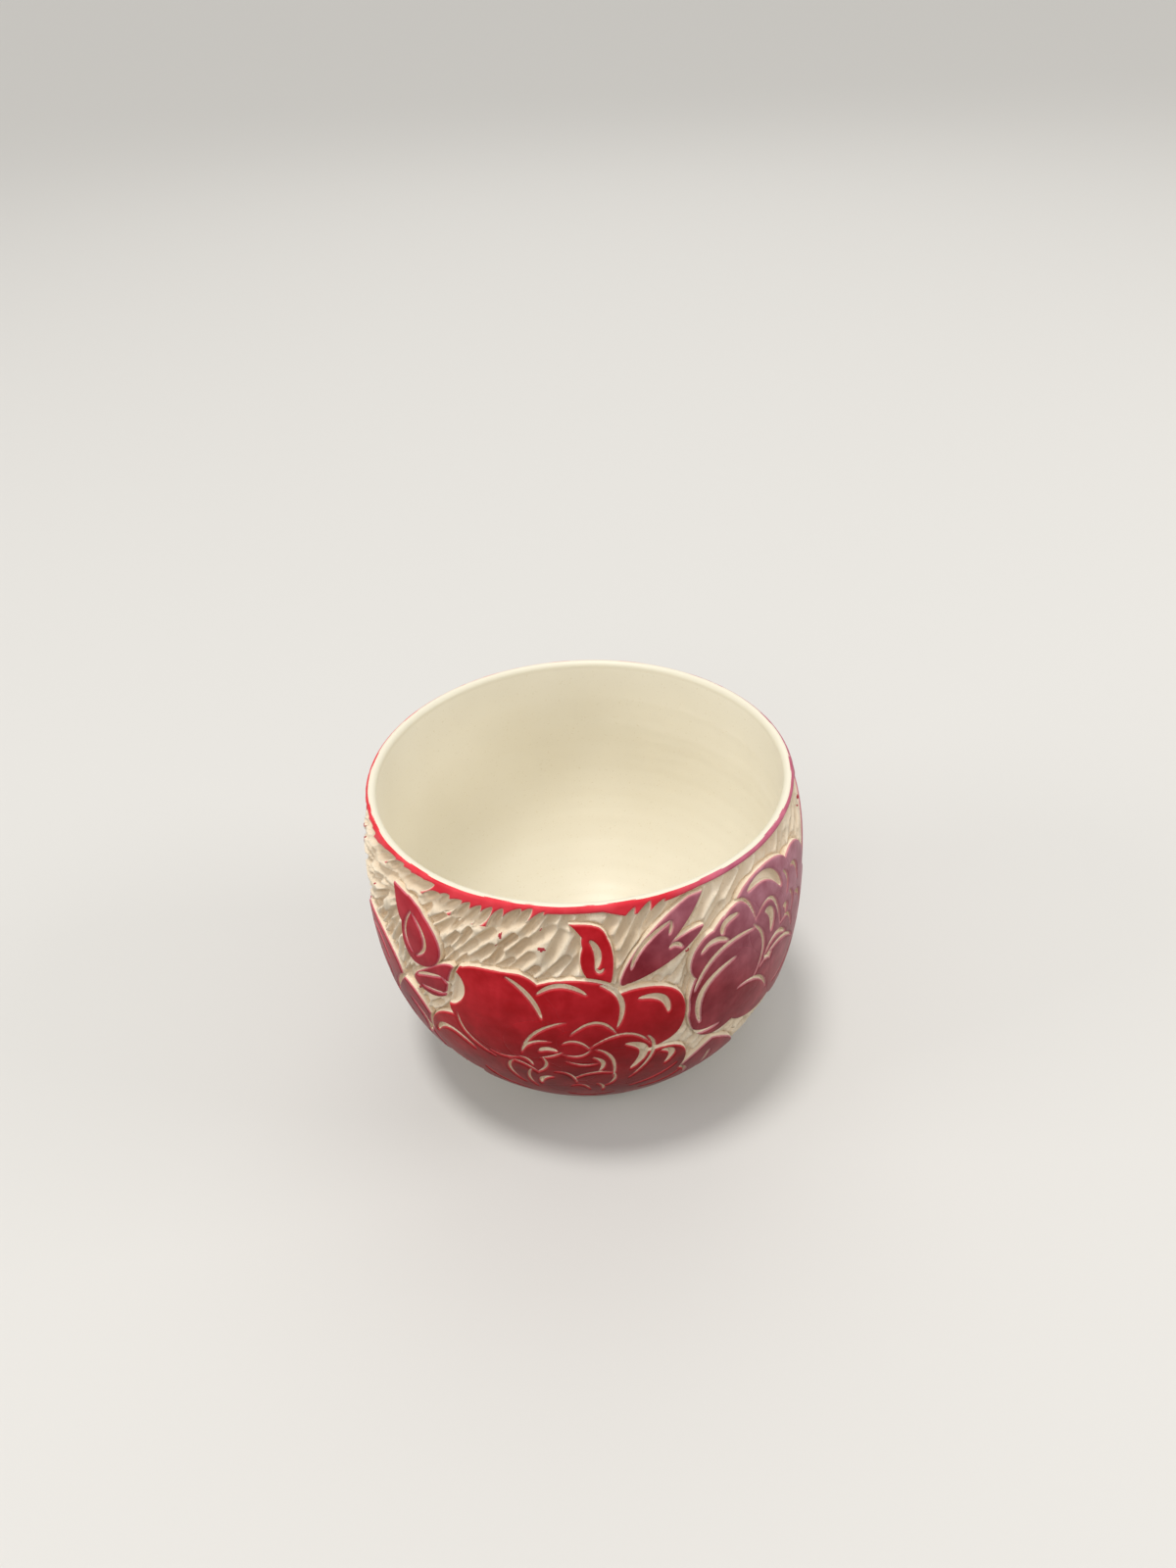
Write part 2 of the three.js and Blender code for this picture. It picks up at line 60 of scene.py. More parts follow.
@dataclass(frozen=True)
class Form:
    """Driving sizes of the thrown cup, in millimetres and degrees."""

    height: float = 64.0
    rim_radius: float = 40.0
    belly_radius: float = 42.8
    belly_height: float = 41.4
    foot_radius: float = 24.8
    foot_flare: float = 47.0
    rim_lean: float = 18.6
    foot_sweep: float = 19.0
    under_belly_sweep: float = 21.2
    over_belly_sweep: float = 9.5
    rim_sweep: float = 6.8
    lip_thickness: float = 2.0
    belly_wall: float = 4.2
    floor_height: float = 7.2
    floor_spread: float = 24.0
    bowl_sweep: float = 23.0
    lip_sweep: float = 9.0
    foot_ring_width: float = 4.4
    foot_recess: float = 1.8
    bare_foot: float = 5.0
    ground_ramp: float = 1.4
    band_width: float = 4.2


FORM = Form()


def bezier(corners: Sequence[Point], steps: int = 400) -> Array:
    """Points of a cubic Bezier stretch, the sum of its four corners weighted by the cubic Bernstein terms.

    Args:
        corners: The four control corners, as radius and height.
        steps: How many points to work out.

    Returns:
        The points, one row each.
    """
    t = np.linspace(0.0, 1.0, steps)[:, None]
    a, b, c, d = (np.array(corner) for corner in corners)
    return (1 - t) ** 3 * a + 3 * (1 - t) ** 2 * t * b + 3 * (1 - t) * t**2 * c + t**3 * d


class Profile:
    """A turned profile made of Bezier stretches and read by the length along it."""

    def __init__(self, stretches: Sequence[Sequence[Point]], lead_out: Sequence[Point] = ()) -> None:
        """Joins the stretches end to end.

        Args:
            stretches: The four control corners of each stretch.
            lead_out: Points that carry the profile on past its length, none by default.
        """
        points = np.concatenate([stretches[0][:1], *(bezier(corners)[1:] for corners in stretches)])
        self.length = float(np.hypot(*np.diff(points, axis=0).T).sum())
        self.points = np.concatenate([points, np.array(lead_out).reshape(-1, 2)])
        self.along = np.concatenate([[0.0], np.cumsum(np.hypot(*np.diff(self.points, axis=0).T))])
        slope = np.gradient(self.points, self.along, axis=0)
        self.tangent = slope / np.hypot(*slope.T)[:, None]

    def at(self, along: Array, out: Array | float = 0.0) -> tuple[Array, Array]:
        """Radius and height at a length along the profile, pushed out square to it.

        Past its ends the profile runs on straight: point plus tangent times the overrun, plus the outward
        normal (the tangent turned a quarter clockwise) times the push.

        Args:
            along: Lengths along the profile, in millimetres.
            out: How far to push the points outwards.

        Returns:
            Radii and heights.
        """
        inside = np.clip(along, 0.0, self.along[-1])
        radius, height, run_r, run_z = (
            np.interp(inside, self.along, values) for values in (*self.points.T, *self.tangent.T))
        over = along - inside
        return radius + run_r * over + run_z * out, height + run_z * over - run_r * out


def moved(place: Point, out: float, up: float) -> Point:
    """A place on a profile, moved outwards and up."""
    return (place[0] + out, place[1] + up)


LIP_RADIUS = FORM.lip_thickness / 2
LEAN = math.radians(FORM.rim_lean)
FLARE = math.radians(FORM.foot_flare)
LIP_CENTRE = (FORM.rim_radius - LIP_RADIUS * math.cos(LEAN), FORM.height - LIP_RADIUS)
FOOT = (FORM.foot_radius, 0.0)
BELLY = (FORM.belly_radius, FORM.belly_height)
WALL_TOP = (FORM.rim_radius, LIP_CENTRE[1] + LIP_RADIUS * math.sin(LEAN))
OVER_LIP = np.linspace(LEAN, math.radians(120), 60)[1:]
WALL = Profile([
    [FOOT, moved(FOOT, FORM.foot_sweep * math.cos(FLARE), FORM.foot_sweep * math.sin(FLARE)),
     moved(BELLY, 0.0, -FORM.under_belly_sweep), BELLY],
    [BELLY, moved(BELLY, 0.0, FORM.over_belly_sweep),
     moved(WALL_TOP, FORM.rim_sweep * math.sin(LEAN), -FORM.rim_sweep * math.cos(LEAN)), WALL_TOP],
], np.array(LIP_CENTRE) + LIP_RADIUS * np.stack([np.cos(OVER_LIP), np.sin(OVER_LIP)], axis=-1))
BOWL_FLOOR = (0.0, FORM.floor_height)
BOWL_BELLY = moved(BELLY, -FORM.belly_wall, 0.0)
BOWL_TOP = moved(LIP_CENTRE, -LIP_RADIUS, 0.0)
BOWL = Profile([
    [BOWL_FLOOR, moved(BOWL_FLOOR, FORM.floor_spread, 0.0),
     moved(BOWL_BELLY, 0.0, -FORM.bowl_sweep), BOWL_BELLY],
    [BOWL_BELLY, moved(BOWL_BELLY, 0.0, FORM.lip_sweep),
     moved(BOWL_TOP, 0.0, -FORM.lip_sweep), BOWL_TOP],
])
AROUND = 2 * math.pi * FORM.belly_radius
BAND_FOOT = WALL.length - FORM.band_width


def wall_place(turn: float, rise: float) -> Array:
    """Millimetres round and up, from degrees round the cup and a share of the way up the wall."""
    return np.array([math.radians(turn) * FORM.belly_radius, rise * WALL.length])


def short_way(offset: Array | float) -> Array | float:
    """An offset round the belly, moved by whole turns to within half a turn."""
    return (offset + AROUND / 2) % AROUND - AROUND / 2


def smoothstep(low: float, high: float, value: Array) -> Array:
    """Rises from 0 at low to 1 at high along three t squared minus two t cubed."""
    t = np.clip((value - low) / (high - low), 0.0, 1.0)
    return t * t * (3 - 2 * t)


def wrap(x: Array, y: Array, depth: Array | float) -> Array:
    """Wraps places on the unrolled wall on to the cup, sunk by a depth square to the wall.

    The angle is x over the belly radius; the wall's profile gives radius and height.

    Args:
        x: Millimetres round the belly.
        y: Millimetres up the wall.
        depth: Millimetres below the slip's face.

    Returns:
        Points in metres, with the coordinates on the last axis.
    """
    radius, height = WALL.at(y, -depth)
    angle = x / FORM.belly_radius
    return np.stack([radius * np.sin(angle), -radius * np.cos(angle), height], axis=-1) * MM


def make_object(name: str, points: Array, faces: Array,
                attributes: Optional[dict[str, Array]] = None) -> bpy.types.Object:
    """Puts points and faces of one size into a new, smoothly shaded mesh object at the origin.

    Args:
        name: The object's name.
        points: Vertex places in metres, one row each.
        faces: Vertex numbers, one row for each face.
        attributes: Values for each vertex, by attribute name.

    Returns:
        The new object.
    """
    mesh = bpy.data.meshes.new(name)
    mesh.vertices.add(len(points))
    mesh.vertices.foreach_set("co", points.astype(np.float32).ravel())
    count, sides = faces.shape
    mesh.loops.add(count * sides)
    mesh.loops.foreach_set("vertex_index", faces.astype(np.int32).ravel())
    mesh.polygons.add(count)
    mesh.polygons.foreach_set("loop_start", np.arange(0, count * sides, sides, dtype=np.int32))
    mesh.polygons.foreach_set("use_smooth", np.ones(count, dtype=bool))
    for label, values in (attributes or {}).items():
        layer = mesh.attributes.new(label, "FLOAT", "POINT")
        layer.data.foreach_set("value", values.astype(np.float32).ravel())
    mesh.update(calc_edges=True)
    mesh.validate()
    thing = bpy.data.objects.new(name, mesh)
    bpy.context.scene.collection.objects.link(thing)
    return thing


def ring_points(radius: Array, height: Array, angle: Array) -> Array:
    """Turns a profile about the cup's axis: (radius sin angle, minus radius cos angle, height), in metres."""
    return np.stack([radius[:, None] * np.sin(angle), -radius[:, None] * np.cos(angle),
                     np.broadcast_to(height[:, None], (len(radius), len(angle)))], axis=-1) * MM


def turned(name: str, radius: Array, height: Array, columns: int) -> bpy.types.Object:
    """Turns a profile that starts and ends on the axis into a closed form with one vertex at each pole.

    Args:
        name: The object's name.
        radius: Profile radii in millimetres, going up the outside first.
        height: Profile heights in millimetres.
        columns: How many steps round the axis.

    Returns:
        The new object.
    """
    points = ring_points(radius, height, np.linspace(0, 2 * math.pi, columns, endpoint=False))
    index = np.arange(points.shape[0] * columns).reshape(-1, columns)
    index[[0, -1]] = index[[0, -1], :1]
    return compact(name, points.reshape(-1, 3), ring_faces(index))


def compact(name: str, points: Array, faces: Array,
            attributes: Optional[dict[str, Array]] = None) -> bpy.types.Object:
    """Makes an object of the points that its faces use, and leaves the others out.

    Args:
        name: The object's name.
        points: Vertex places in metres, one row each.
        faces: Vertex numbers of the triangles, one row each.
        attributes: Values for each vertex, by attribute name.

    Returns:
        The new object.
    """
    used, numbers = np.unique(faces, return_inverse=True)
    kept = {label: values[used] for label, values in (attributes or {}).items()}
    return make_object(name, points[used], numbers.reshape(-1, 3), kept)


def ring_faces(index: Array) -> Array:
    """Triangles between rows of vertex numbers that close round their columns, without any that shrink.

    Args:
        index: Vertex numbers, rows by columns, going up the outside.

    Returns:
        The triangles, facing outwards.
    """
    lower, upper = index[:-1], index[1:]
    quads = np.stack([lower, np.roll(lower, -1, 1), np.roll(upper, -1, 1), upper], axis=-1).reshape(-1, 4)
    faces = np.concatenate([quads[:, [0, 1, 2]], quads[:, [0, 2, 3]]])
    a, b, c = faces.T
    return faces[(a != b) & (b != c) & (c != a)]


def graded_faces(fine: Array, step: int) -> Array:
    """Triangles over a wall's grid that closes round its columns, small in the marked cells only.

    A large cell spans step small ones each way. It is a fan round its middle, whose sides take up the small
    corners where the neighbour is fine, so that the mesh stays closed.

    Args:
        fine: Which large cells are split, rows by columns. The end rows aren't.
        step: Small cells along the side of a large one, an even number.

    Returns:
        The triangles, facing outwards, as numbers on the small grid.
    """
    rows, columns = fine.shape
    across = columns * step

    def number(row: Array, column: Array) -> Array:
        """Vertex number on the small grid."""
        return row * across + column % across

    row, column = np.nonzero(np.kron(fine, np.ones((step, step), dtype=bool)))
    a, b = number(row, column), number(row, column + 1)
    c, d = number(row + 1, column + 1), number(row + 1, column)
    parts = [np.stack([a, b, c], axis=-1), np.stack([a, c, d], axis=-1)]
    row, column = np.nonzero(~fine)
    middle = number(row * step + step // 2, column * step + step // 2)
    padded = np.pad(fine, ((1, 1), (0, 0)))
    beside = {
        (0, 0, 0, 1): padded[row, column],
        (step, step, 0, -1): padded[row + 2, column],
        (0, step, 1, 0): fine[row, (column + 1) % columns],
        (step, 0, -1, 0): fine[row, column - 1],
    }
    for (low, left, up, over), split in beside.items():
        for stride, chosen in ((1, split), (step, ~split)):
            for begin in range(0, step, stride):
                ends = [number(row * step + low + up * at, column * step + left + over * at)
                        for at in (begin, begin + stride)]
                parts.append(np.stack([middle, *ends], axis=-1)[chosen])
    return np.concatenate(parts)


def outline_field(x: Array, y: Array, outline: Array) -> Array:
    """Distance to a closed outline, above 0 inside it and below 0 outside.

    For each side the nearest point is the corner plus the side times the clamped projection; the sign comes
    from how many sides a level ray crosses.

    Args:
        x: Places across.
        y: Places up.
        outline: Corners of the outline, one row each.

    Returns:
        The signed distances.
    """
    start = outline
    side = np.roll(outline, -1, axis=0) - outline
    to_x = x[:, None] - start[:, 0]
    to_y = y[:, None] - start[:, 1]
    share = np.clip((to_x * side[:, 0] + to_y * side[:, 1]) / (side**2).sum(axis=1), 0.0, 1.0)
    gap = np.sqrt(((to_x - share * side[:, 0]) ** 2 + (to_y - share * side[:, 1]) ** 2).min(axis=1))
    rises = (to_y < 0) != (to_y < side[:, 1])
    level = np.where(np.abs(side[:, 1]) < 1e-9, 1e-9, side[:, 1])
    crossings = (rises & (to_x < side[:, 0] * to_y / level)).sum(axis=1)
    return np.where(crossings % 2 == 1, gap, -gap)


def headed(across: Array, along: Array, heading: float) -> Array:
    """Turns offsets clockwise from straight up the wall.

    Args:
        across: Offsets to the right of the heading.
        along: Offsets along the heading.
        heading: Degrees clockwise from straight up.

    Returns:
        Offsets round and up, on the last axis.
    """
    turn = math.radians(heading)
    return np.stack([along * math.sin(turn) + across * math.cos(turn),
                     along * math.cos(turn) - across * math.sin(turn)], axis=-1)


@dataclass(frozen=True)
class Cut:
    """One cut of a small gouge, through three places on the unrolled wall in millimetres."""

    start: Point
    middle: Point
    end: Point
    width: float
    blunt: float = 0.34

    def spine(self, steps: int = 56) -> tuple[Array, Array]:
        """The cut's middle line and its half width, with points that crowd towards the ends.

        The line is a parabola: the start, the end and a pull, weighted (1 - t) squared, t squared and
        2 t (1 - t). The pull is twice the middle less the mean of the ends. The half width is half the width
        times the sine of half a turn, raised to the bluntness.

        Args:
            steps: How many points the line gets.

        Returns:
            Points of the line, and the half width at each.
        """
        t = (1 - np.cos(np.linspace(0, np.pi, steps)))[:, None] / 2
        start, middle, end = np.array(self.start), np.array(self.middle), np.array(self.end)
        pull = 2 * middle - (start + end) / 2
        line = (1 - t) ** 2 * start + 2 * t * (1 - t) * pull + t**2 * end
        return line, self.width / 2 * np.sin(np.pi * t[:, 0]) ** self.blunt


CUT_SHARE = 0.8
CUT_MARGIN = 2.0


def cuts(*rows: tuple[float, ...]) -> tuple[Cut, ...]:
    """Cuts from rows of numbers. Each is as wide as its row says, times CUT_SHARE.

    Args:
        rows: Degrees round and millimetres up for start, middle and end, then the width.

    Returns:
        The cuts, in the order of the rows.
    """
    girth = math.radians(1) * FORM.belly_radius
    return tuple(Cut((a * girth, b), (c * girth, d), (e * girth, f), CUT_SHARE * width)
                 for a, b, c, d, e, f, width in rows)


@dataclass(frozen=True)
class Petal:
    """A petal or leaf: an egg with its broad end at the tip, pointed, scalloped or bent as its values say."""

    name: str
    base: Point
    heading: float
    length: float
    width: float
    full: float = 0.35
    point: float = 0.0
    lobes: int = 0
    lobe_depth: float = 0.0
    curl: float = 0.0

    def outline(self, steps: int = 72) -> Array:
        """The petal's outline, anticlockwise from its base.

        With a as the angle round the egg and t as half of one minus cos a, a point lies length times t along,
        plus a ripple at the tip, and half the width times sin a times (1 - full cos a) times (1 - t) to the
        power point across, plus curl times t squared.

        Args:
            steps: How many corners the outline gets.

        Returns:
            The corners, from the anchor, in millimetres.
        """
        angle = 2 * np.pi * (np.arange(steps) + 0.5) / steps
        tipward = (1 - np.cos(angle)) / 2
        ripple = self.lobe_depth * np.cos(self.lobes * (angle - np.pi)) * tipward**2
        half = self.width / 2 * np.sin(angle) * (1 - self.full * np.cos(angle)) * (1 - tipward) ** self.point
        across, along = half + self.curl * tipward**2, self.length * tipward + ripple
        return np.array(self.base) + headed(across, along, self.heading)


@dataclass(frozen=True)
class Corolla:
    """A whole flower head: a round with scallops, each a petal's edge."""

    name: str
    radius: float
    heading: float
    scallops: int = 5
    scallop_depth: float = 0.2

    def outline(self, steps: int = 120) -> Array:
        """The head's outline, anticlockwise.

        The reach is the radius less a share of it: the scallop depth times one minus the root of the size of
        the cosine of the angle, counted in scallops.

        Args:
            steps: How many corners the outline gets.

        Returns:
            The corners, from the anchor, in millimetres.
        """
        angle = 2 * np.pi * (np.arange(steps) + 0.5) / steps
        edge = np.sqrt(np.abs(np.cos(self.scallops * (angle - math.radians(self.heading)) / 2)))
        reach = self.radius * (1 - self.scallop_depth * (1 - edge))
        return np.stack([reach * np.cos(angle), reach * np.sin(angle)], axis=-1)


class Slip(Enum):
    """The coloured slips, by the record's material slots."""

    BAND = "slip_band"
    RED = "slip_red"
    ROSE = "slip_rose"
    PLUM = "slip_plum"


@dataclass
class Motif:
    """One island of slip in its place on the wall. Motifs of one bloom touch; other motifs keep a groove.

    Its turn is degrees round the cup from the front, and its rise a share of the way up the wall.
    """

    name: str
    slip: Slip
    turn: float
    rise: float
    shapes: tuple[Petal | Corolla, ...]
    cuts: tuple[Cut, ...] = ()
    bloom: str = ""

    def __post_init__(self) -> None:
        """Moves the outlines to the motif's middle, and works out its box and the lines of its cuts."""
        self.bloom = self.bloom or self.name
        self.middle = wall_place(self.turn, self.rise)
        self.outlines = [shape.outline() + self.middle for shape in self.shapes]
        self.lines = [cut.spine() for cut in self.cuts]
        corners = np.concatenate(self.outlines)
        self.low, self.high = corners.min(axis=0), corners.max(axis=0)

    def unrolled(self, x: Array) -> Array:
        """Places round the belly, moved by whole turns to lie nearest the motif."""
        return short_way(x - self.middle[0]) + self.middle[0]

    def near(self, x: Array, y: Array, margin: float) -> Array:
        """Which places lie within a margin of the motif's box."""
        return ((x > self.low[0] - margin) & (x < self.high[0] + margin)
                & (y > self.low[1] - margin) & (y < self.high[1] + margin))

    def body(self, x: Array, y: Array) -> Array:
        """Signed distance to the motif's outline, above 0 inside, held at minus FAR away from it.

        Args:
            x: Places round the belly, as a flat array.
            y: Places up the wall.

        Returns:
            The distances in millimetres.
        """
        x = self.unrolled(x)
        value = np.full(x.shape, -FAR)
        close = self.near(x, y, FAR)
        if close.any():
            fields = [outline_field(x[close], y[close], outline) for outline in self.outlines]
            value[close] = np.maximum(np.max(fields, axis=0), -FAR)
        return value

    def carved(self, x: Array, y: Array) -> Array:
        """How far inside a cut each place lies: the greatest half width less the distance to its line.

        Args:
            x: Places round the belly, as a flat array.
            y: Places up the wall.

        Returns:
            The values in millimetres, below 0 outside the cuts.
        """
        x = self.unrolled(x)
        value = np.full(x.shape, -FAR)
        for line, half in self.lines:
            low, high = line.min(axis=0) - CUT_MARGIN, line.max(axis=0) + CUT_MARGIN
            close = (x > low[0]) & (x < high[0]) & (y > low[1]) & (y < high[1])
            gap = np.hypot(x[close, None] - line[:, 0], y[close, None] - line[:, 1])
            value[close] = np.maximum(value[close], (half - gap).max(axis=1))
        return value


def flower(slip: Slip, turn: float, rise: float, petals: Sequence[Petal | Corolla], lines: tuple[Cut, ...],
           bloom: str = "") -> list[Motif]:
    """Petals that share a colour, a middle and their cuts. Those of one name are joined.

    Args:
        slip: The slip's colour.
        turn: Degrees round the cup of the flower's middle.
        rise: Share of the way up the wall.
        petals: The petals, the front one first, with their bases given from the flower's middle.
        lines: The cuts.
        bloom: Name that motifs which touch share, or nothing for a groove round each.

    Returns:
        One motif for each name.
    """
    groups: dict[str, list[Petal | Corolla]] = {}
    for petal in petals:
        groups.setdefault(petal.name, []).append(petal)
    return [Motif(name, slip, turn, rise, tuple(group), lines, bloom) for name, group in groups.items()]


# Cuts of one petal of a round peony. Start, middle and end are radians from the petal's first edge and shares
# of the head's radius, and the width is in millimetres
PETAL_CUTS = (
    ((-0.3, 0.34), (-0.02, 0.62), (0.0, 0.95), 1.2),
    ((0.3, 0.72), (0.64, 0.84), (0.98, 0.74), 1.5),
    ((0.1, 0.44), (0.45, 0.56), (0.85, 0.46), 1.0),
    ((0.2, 0.2), (0.6, 0.27), (1.1, 0.12), 0.9),
)


HEART_DROP, HEART_SIZE = 0.3, 0.56


def peony(name: str, slip: Slip, turn: float, rise: float, radius: float, heading: float) -> list[Motif]:
    """One peony of the sides and the back: a heart, and a scalloped head with cuts between its petals.

    Args:
        name: Start of the two islands' names.
        slip: The slip's colour.
        turn: Degrees round the cup of the flower's middle.
        rise: Share of the way up the wall.
        radius: The head's radius in millimetres.
        heading: The turn of the scallops in degrees.

    Returns:
        The heart and the head.
    """
    head = Corolla(f"{name}_corolla", radius, heading)
    middle = wall_place(turn, rise)

    def at(angle: float, share: float) -> Point:
        """The place at an angle and a share of the head's radius."""
        return (middle[0] + share * radius * math.cos(angle), middle[1] + share * radius * math.sin(angle))

    odd = range(1, 2 * head.scallops, 2)
    edges = [math.radians(heading) + number * math.pi / head.scallops for number in odd]
    lines = [Cut(*(at(edge + past, share) for past, share in places), width)
             for edge in edges for *places, width in PETAL_CUTS]
    size = HEART_SIZE * radius
    heart = Petal(f"{name}_heart", (0, -HEART_DROP * radius), heading / 3, size, size)
    return flower(slip, turn, rise, [heart, head], tuple(lines))


VEIN_SHARES = (0.14, 0.5, 0.82)
VEIN_WIDTH = 1.4


def leaf(name: str, slip: Slip, turn: float, rise: float, heading: float, length: float, width: float,
         curl: float = 0.0) -> Motif:
    """A pointed leaf from its stalk end, with one vein that bends with it.

    Args:
        name: The island's name.
        slip: The slip's colour.
        turn: Degrees round the cup of the stalk end.
        rise: Share of the way up the wall.
        heading: Degrees clockwise from straight up.
        length: Millimetres from stalk to tip.
        width: Millimetres across.
        curl: Millimetres that the tip bends sideways.

    Returns:
        The leaf.
    """
    stalk = wall_place(turn, rise)
    vein = [tuple(stalk + headed(np.array(curl * t**2), np.array(length * t), heading)) for t in VEIN_SHARES]
    blade = Petal(name, (0, 0), heading, length, width, full=0.1, point=0.35, curl=curl)
    return Motif(name, slip, turn, rise, (blade,), (Cut(*vein, VEIN_WIDTH),))


RED_CUTS = cuts(
    (-33.6, 52.2, -33, 48.6, -35.8, 44.2, 4.2),
    (-19.6, 54.9, -14.4, 51.4, -11.6, 46, 1.4), (-12.3, 51.9, -6.5, 54.2, -0.8, 52, 1.5),
    (2.2, 54.1, 6.9, 50.2, 5.8, 43.5, 1.4), (11, 49.9, 16.4, 48.9, 18.3, 44.9, 1.9),
    (-5.3, 42.2, 0.9, 45.3, 5.7, 41.8, 1.0), (-17.6, 36.7, -13.2, 42.5, -6, 45.5, 1.0),
    (-1.2, 38.5, 7.5, 41.7, 13.9, 37.6, 0.9), (12.8, 40.3, 14.4, 34.9, 8.6, 27.4, 1.1),
    (7.7, 38.9, 12.2, 36.2, 9, 30.9, 2.3), (16.7, 34.8, 19.6, 33.2, 18, 30, 1.8),
    (21.6, 28.8, 16.2, 25.3, 9, 23, 1.0), (-34, 42.2, -32.1, 37, -25, 33, 1.0),
    (-26.2, 34.7, -22.4, 33.9, -18.2, 34.8, 0.7), (-43.6, 32.3, -38.2, 36.2, -30.8, 33, 1.7),
    (-13.1, 37.3, -11, 38.2, -8.7, 37.6, 1.6), (-17.6, 36.2, -15, 39.4, -9.8, 40.3, 0.9),
    (-7.4, 39.8, -3.9, 40.5, -0.7, 38.2, 0.9), (-0.7, 38.1, -3.6, 36.4, -7.6, 36.9, 0.8),
    (0.4, 38.3, 4.4, 35, 4.6, 28.4, 1.0), (-6.9, 34.9, -3, 33.7, 1, 34.1, 0.8),
    (-0.3, 35.9, 2.1, 34, 1.1, 31.2, 1.2), (-5.6, 28.5, -0.5, 30.8, 5.3, 30.2, 0.9),
    (-12.6, 35.5, -12, 32.8, -14.6, 30.2, 0.9), (-21.4, 33.3, -17.5, 32.5, -14.2, 30, 0.9),
    (-18.6, 34.7, -16.4, 34.2, -15.4, 32.4, 1.0), (-20.4, 33, -22, 29.4, -18.8, 24.6, 1.0),
    (-16, 31, -17.3, 27.3, -15.8, 23.2, 0.9), (-14.4, 25.2, -13.5, 27.8, -10.7, 28.9, 1.5),
    (-10.1, 31.1, -6.3, 30.1, -4.8, 26.6, 0.8), (-6.4, 25.2, -3.5, 25.6, -1.5, 22.8, 0.9),
    (0.2, 26.3, 1.8, 24.5, 1.8, 21.8, 0.9), (-30, 27, -26, 22, -19, 19, 1.2),
    (-8, 20, -2, 18, 5, 19.5, 1.2), (12, 20.5, 19, 21, 24, 25, 1.1), (-2, 16.5, 4, 14.5, 9, 16, 1.0),
    (-13.1, 35.4, -10.3, 36.1, -7.3, 37.5, 0.8), (5, 29.9, 4.7, 26.9, 2.3, 24.9, 0.9),
)
PLUM_CUTS = cuts(
    (42, 63, 49.9, 63.1, 55.6, 57.9, 2.6), (33.4, 60.7, 39.8, 62.2, 44, 55.9, 1.0),
    (33.1, 57.5, 34.1, 59.6, 38.2, 60, 1.8), (26.9, 55.6, 30.5, 57.1, 34.7, 55.7, 1.5),
    (24.9, 47.6, 31.8, 54.2, 43.5, 54.4, 1.4), (26.7, 39, 27.5, 47.2, 37, 50.9, 1.8),
    (42.9, 55.5, 47.1, 49, 43.3, 42.2, 1.1), (44, 56.2, 50.8, 57.5, 54.7, 49.5, 1.0),
    (47.9, 56.1, 50.5, 54.1, 50.4, 50.2, 2.3), (57, 60.4, 59.1, 57.8, 58.2, 54.6, 1.0),
    (56.4, 52.6, 58.3, 51.7, 57.6, 50, 1.6), (54.7, 49.3, 59.8, 48.8, 62.4, 44.6, 1.0),
    (47.9, 45.7, 53, 47.9, 58.6, 45.1, 1.6), (45.9, 43.7, 55.2, 45.3, 64.8, 40.3, 1.3),
    (37.9, 42.7, 45.7, 41.2, 50.6, 35.6, 1.1), (22.6, 40.7, 25.6, 36.6, 32.8, 35.9, 1.3),
    (61.4, 59.2, 65, 57.6, 66.4, 53.4, 1.2), (60.2, 54.2, 62.4, 51.5, 61.5, 48.2, 0.9),
    (64.5, 51, 69.4, 48.2, 71.5, 43, 1.4), (66, 38.5, 61, 35.5, 54, 34.8, 1.2),
)


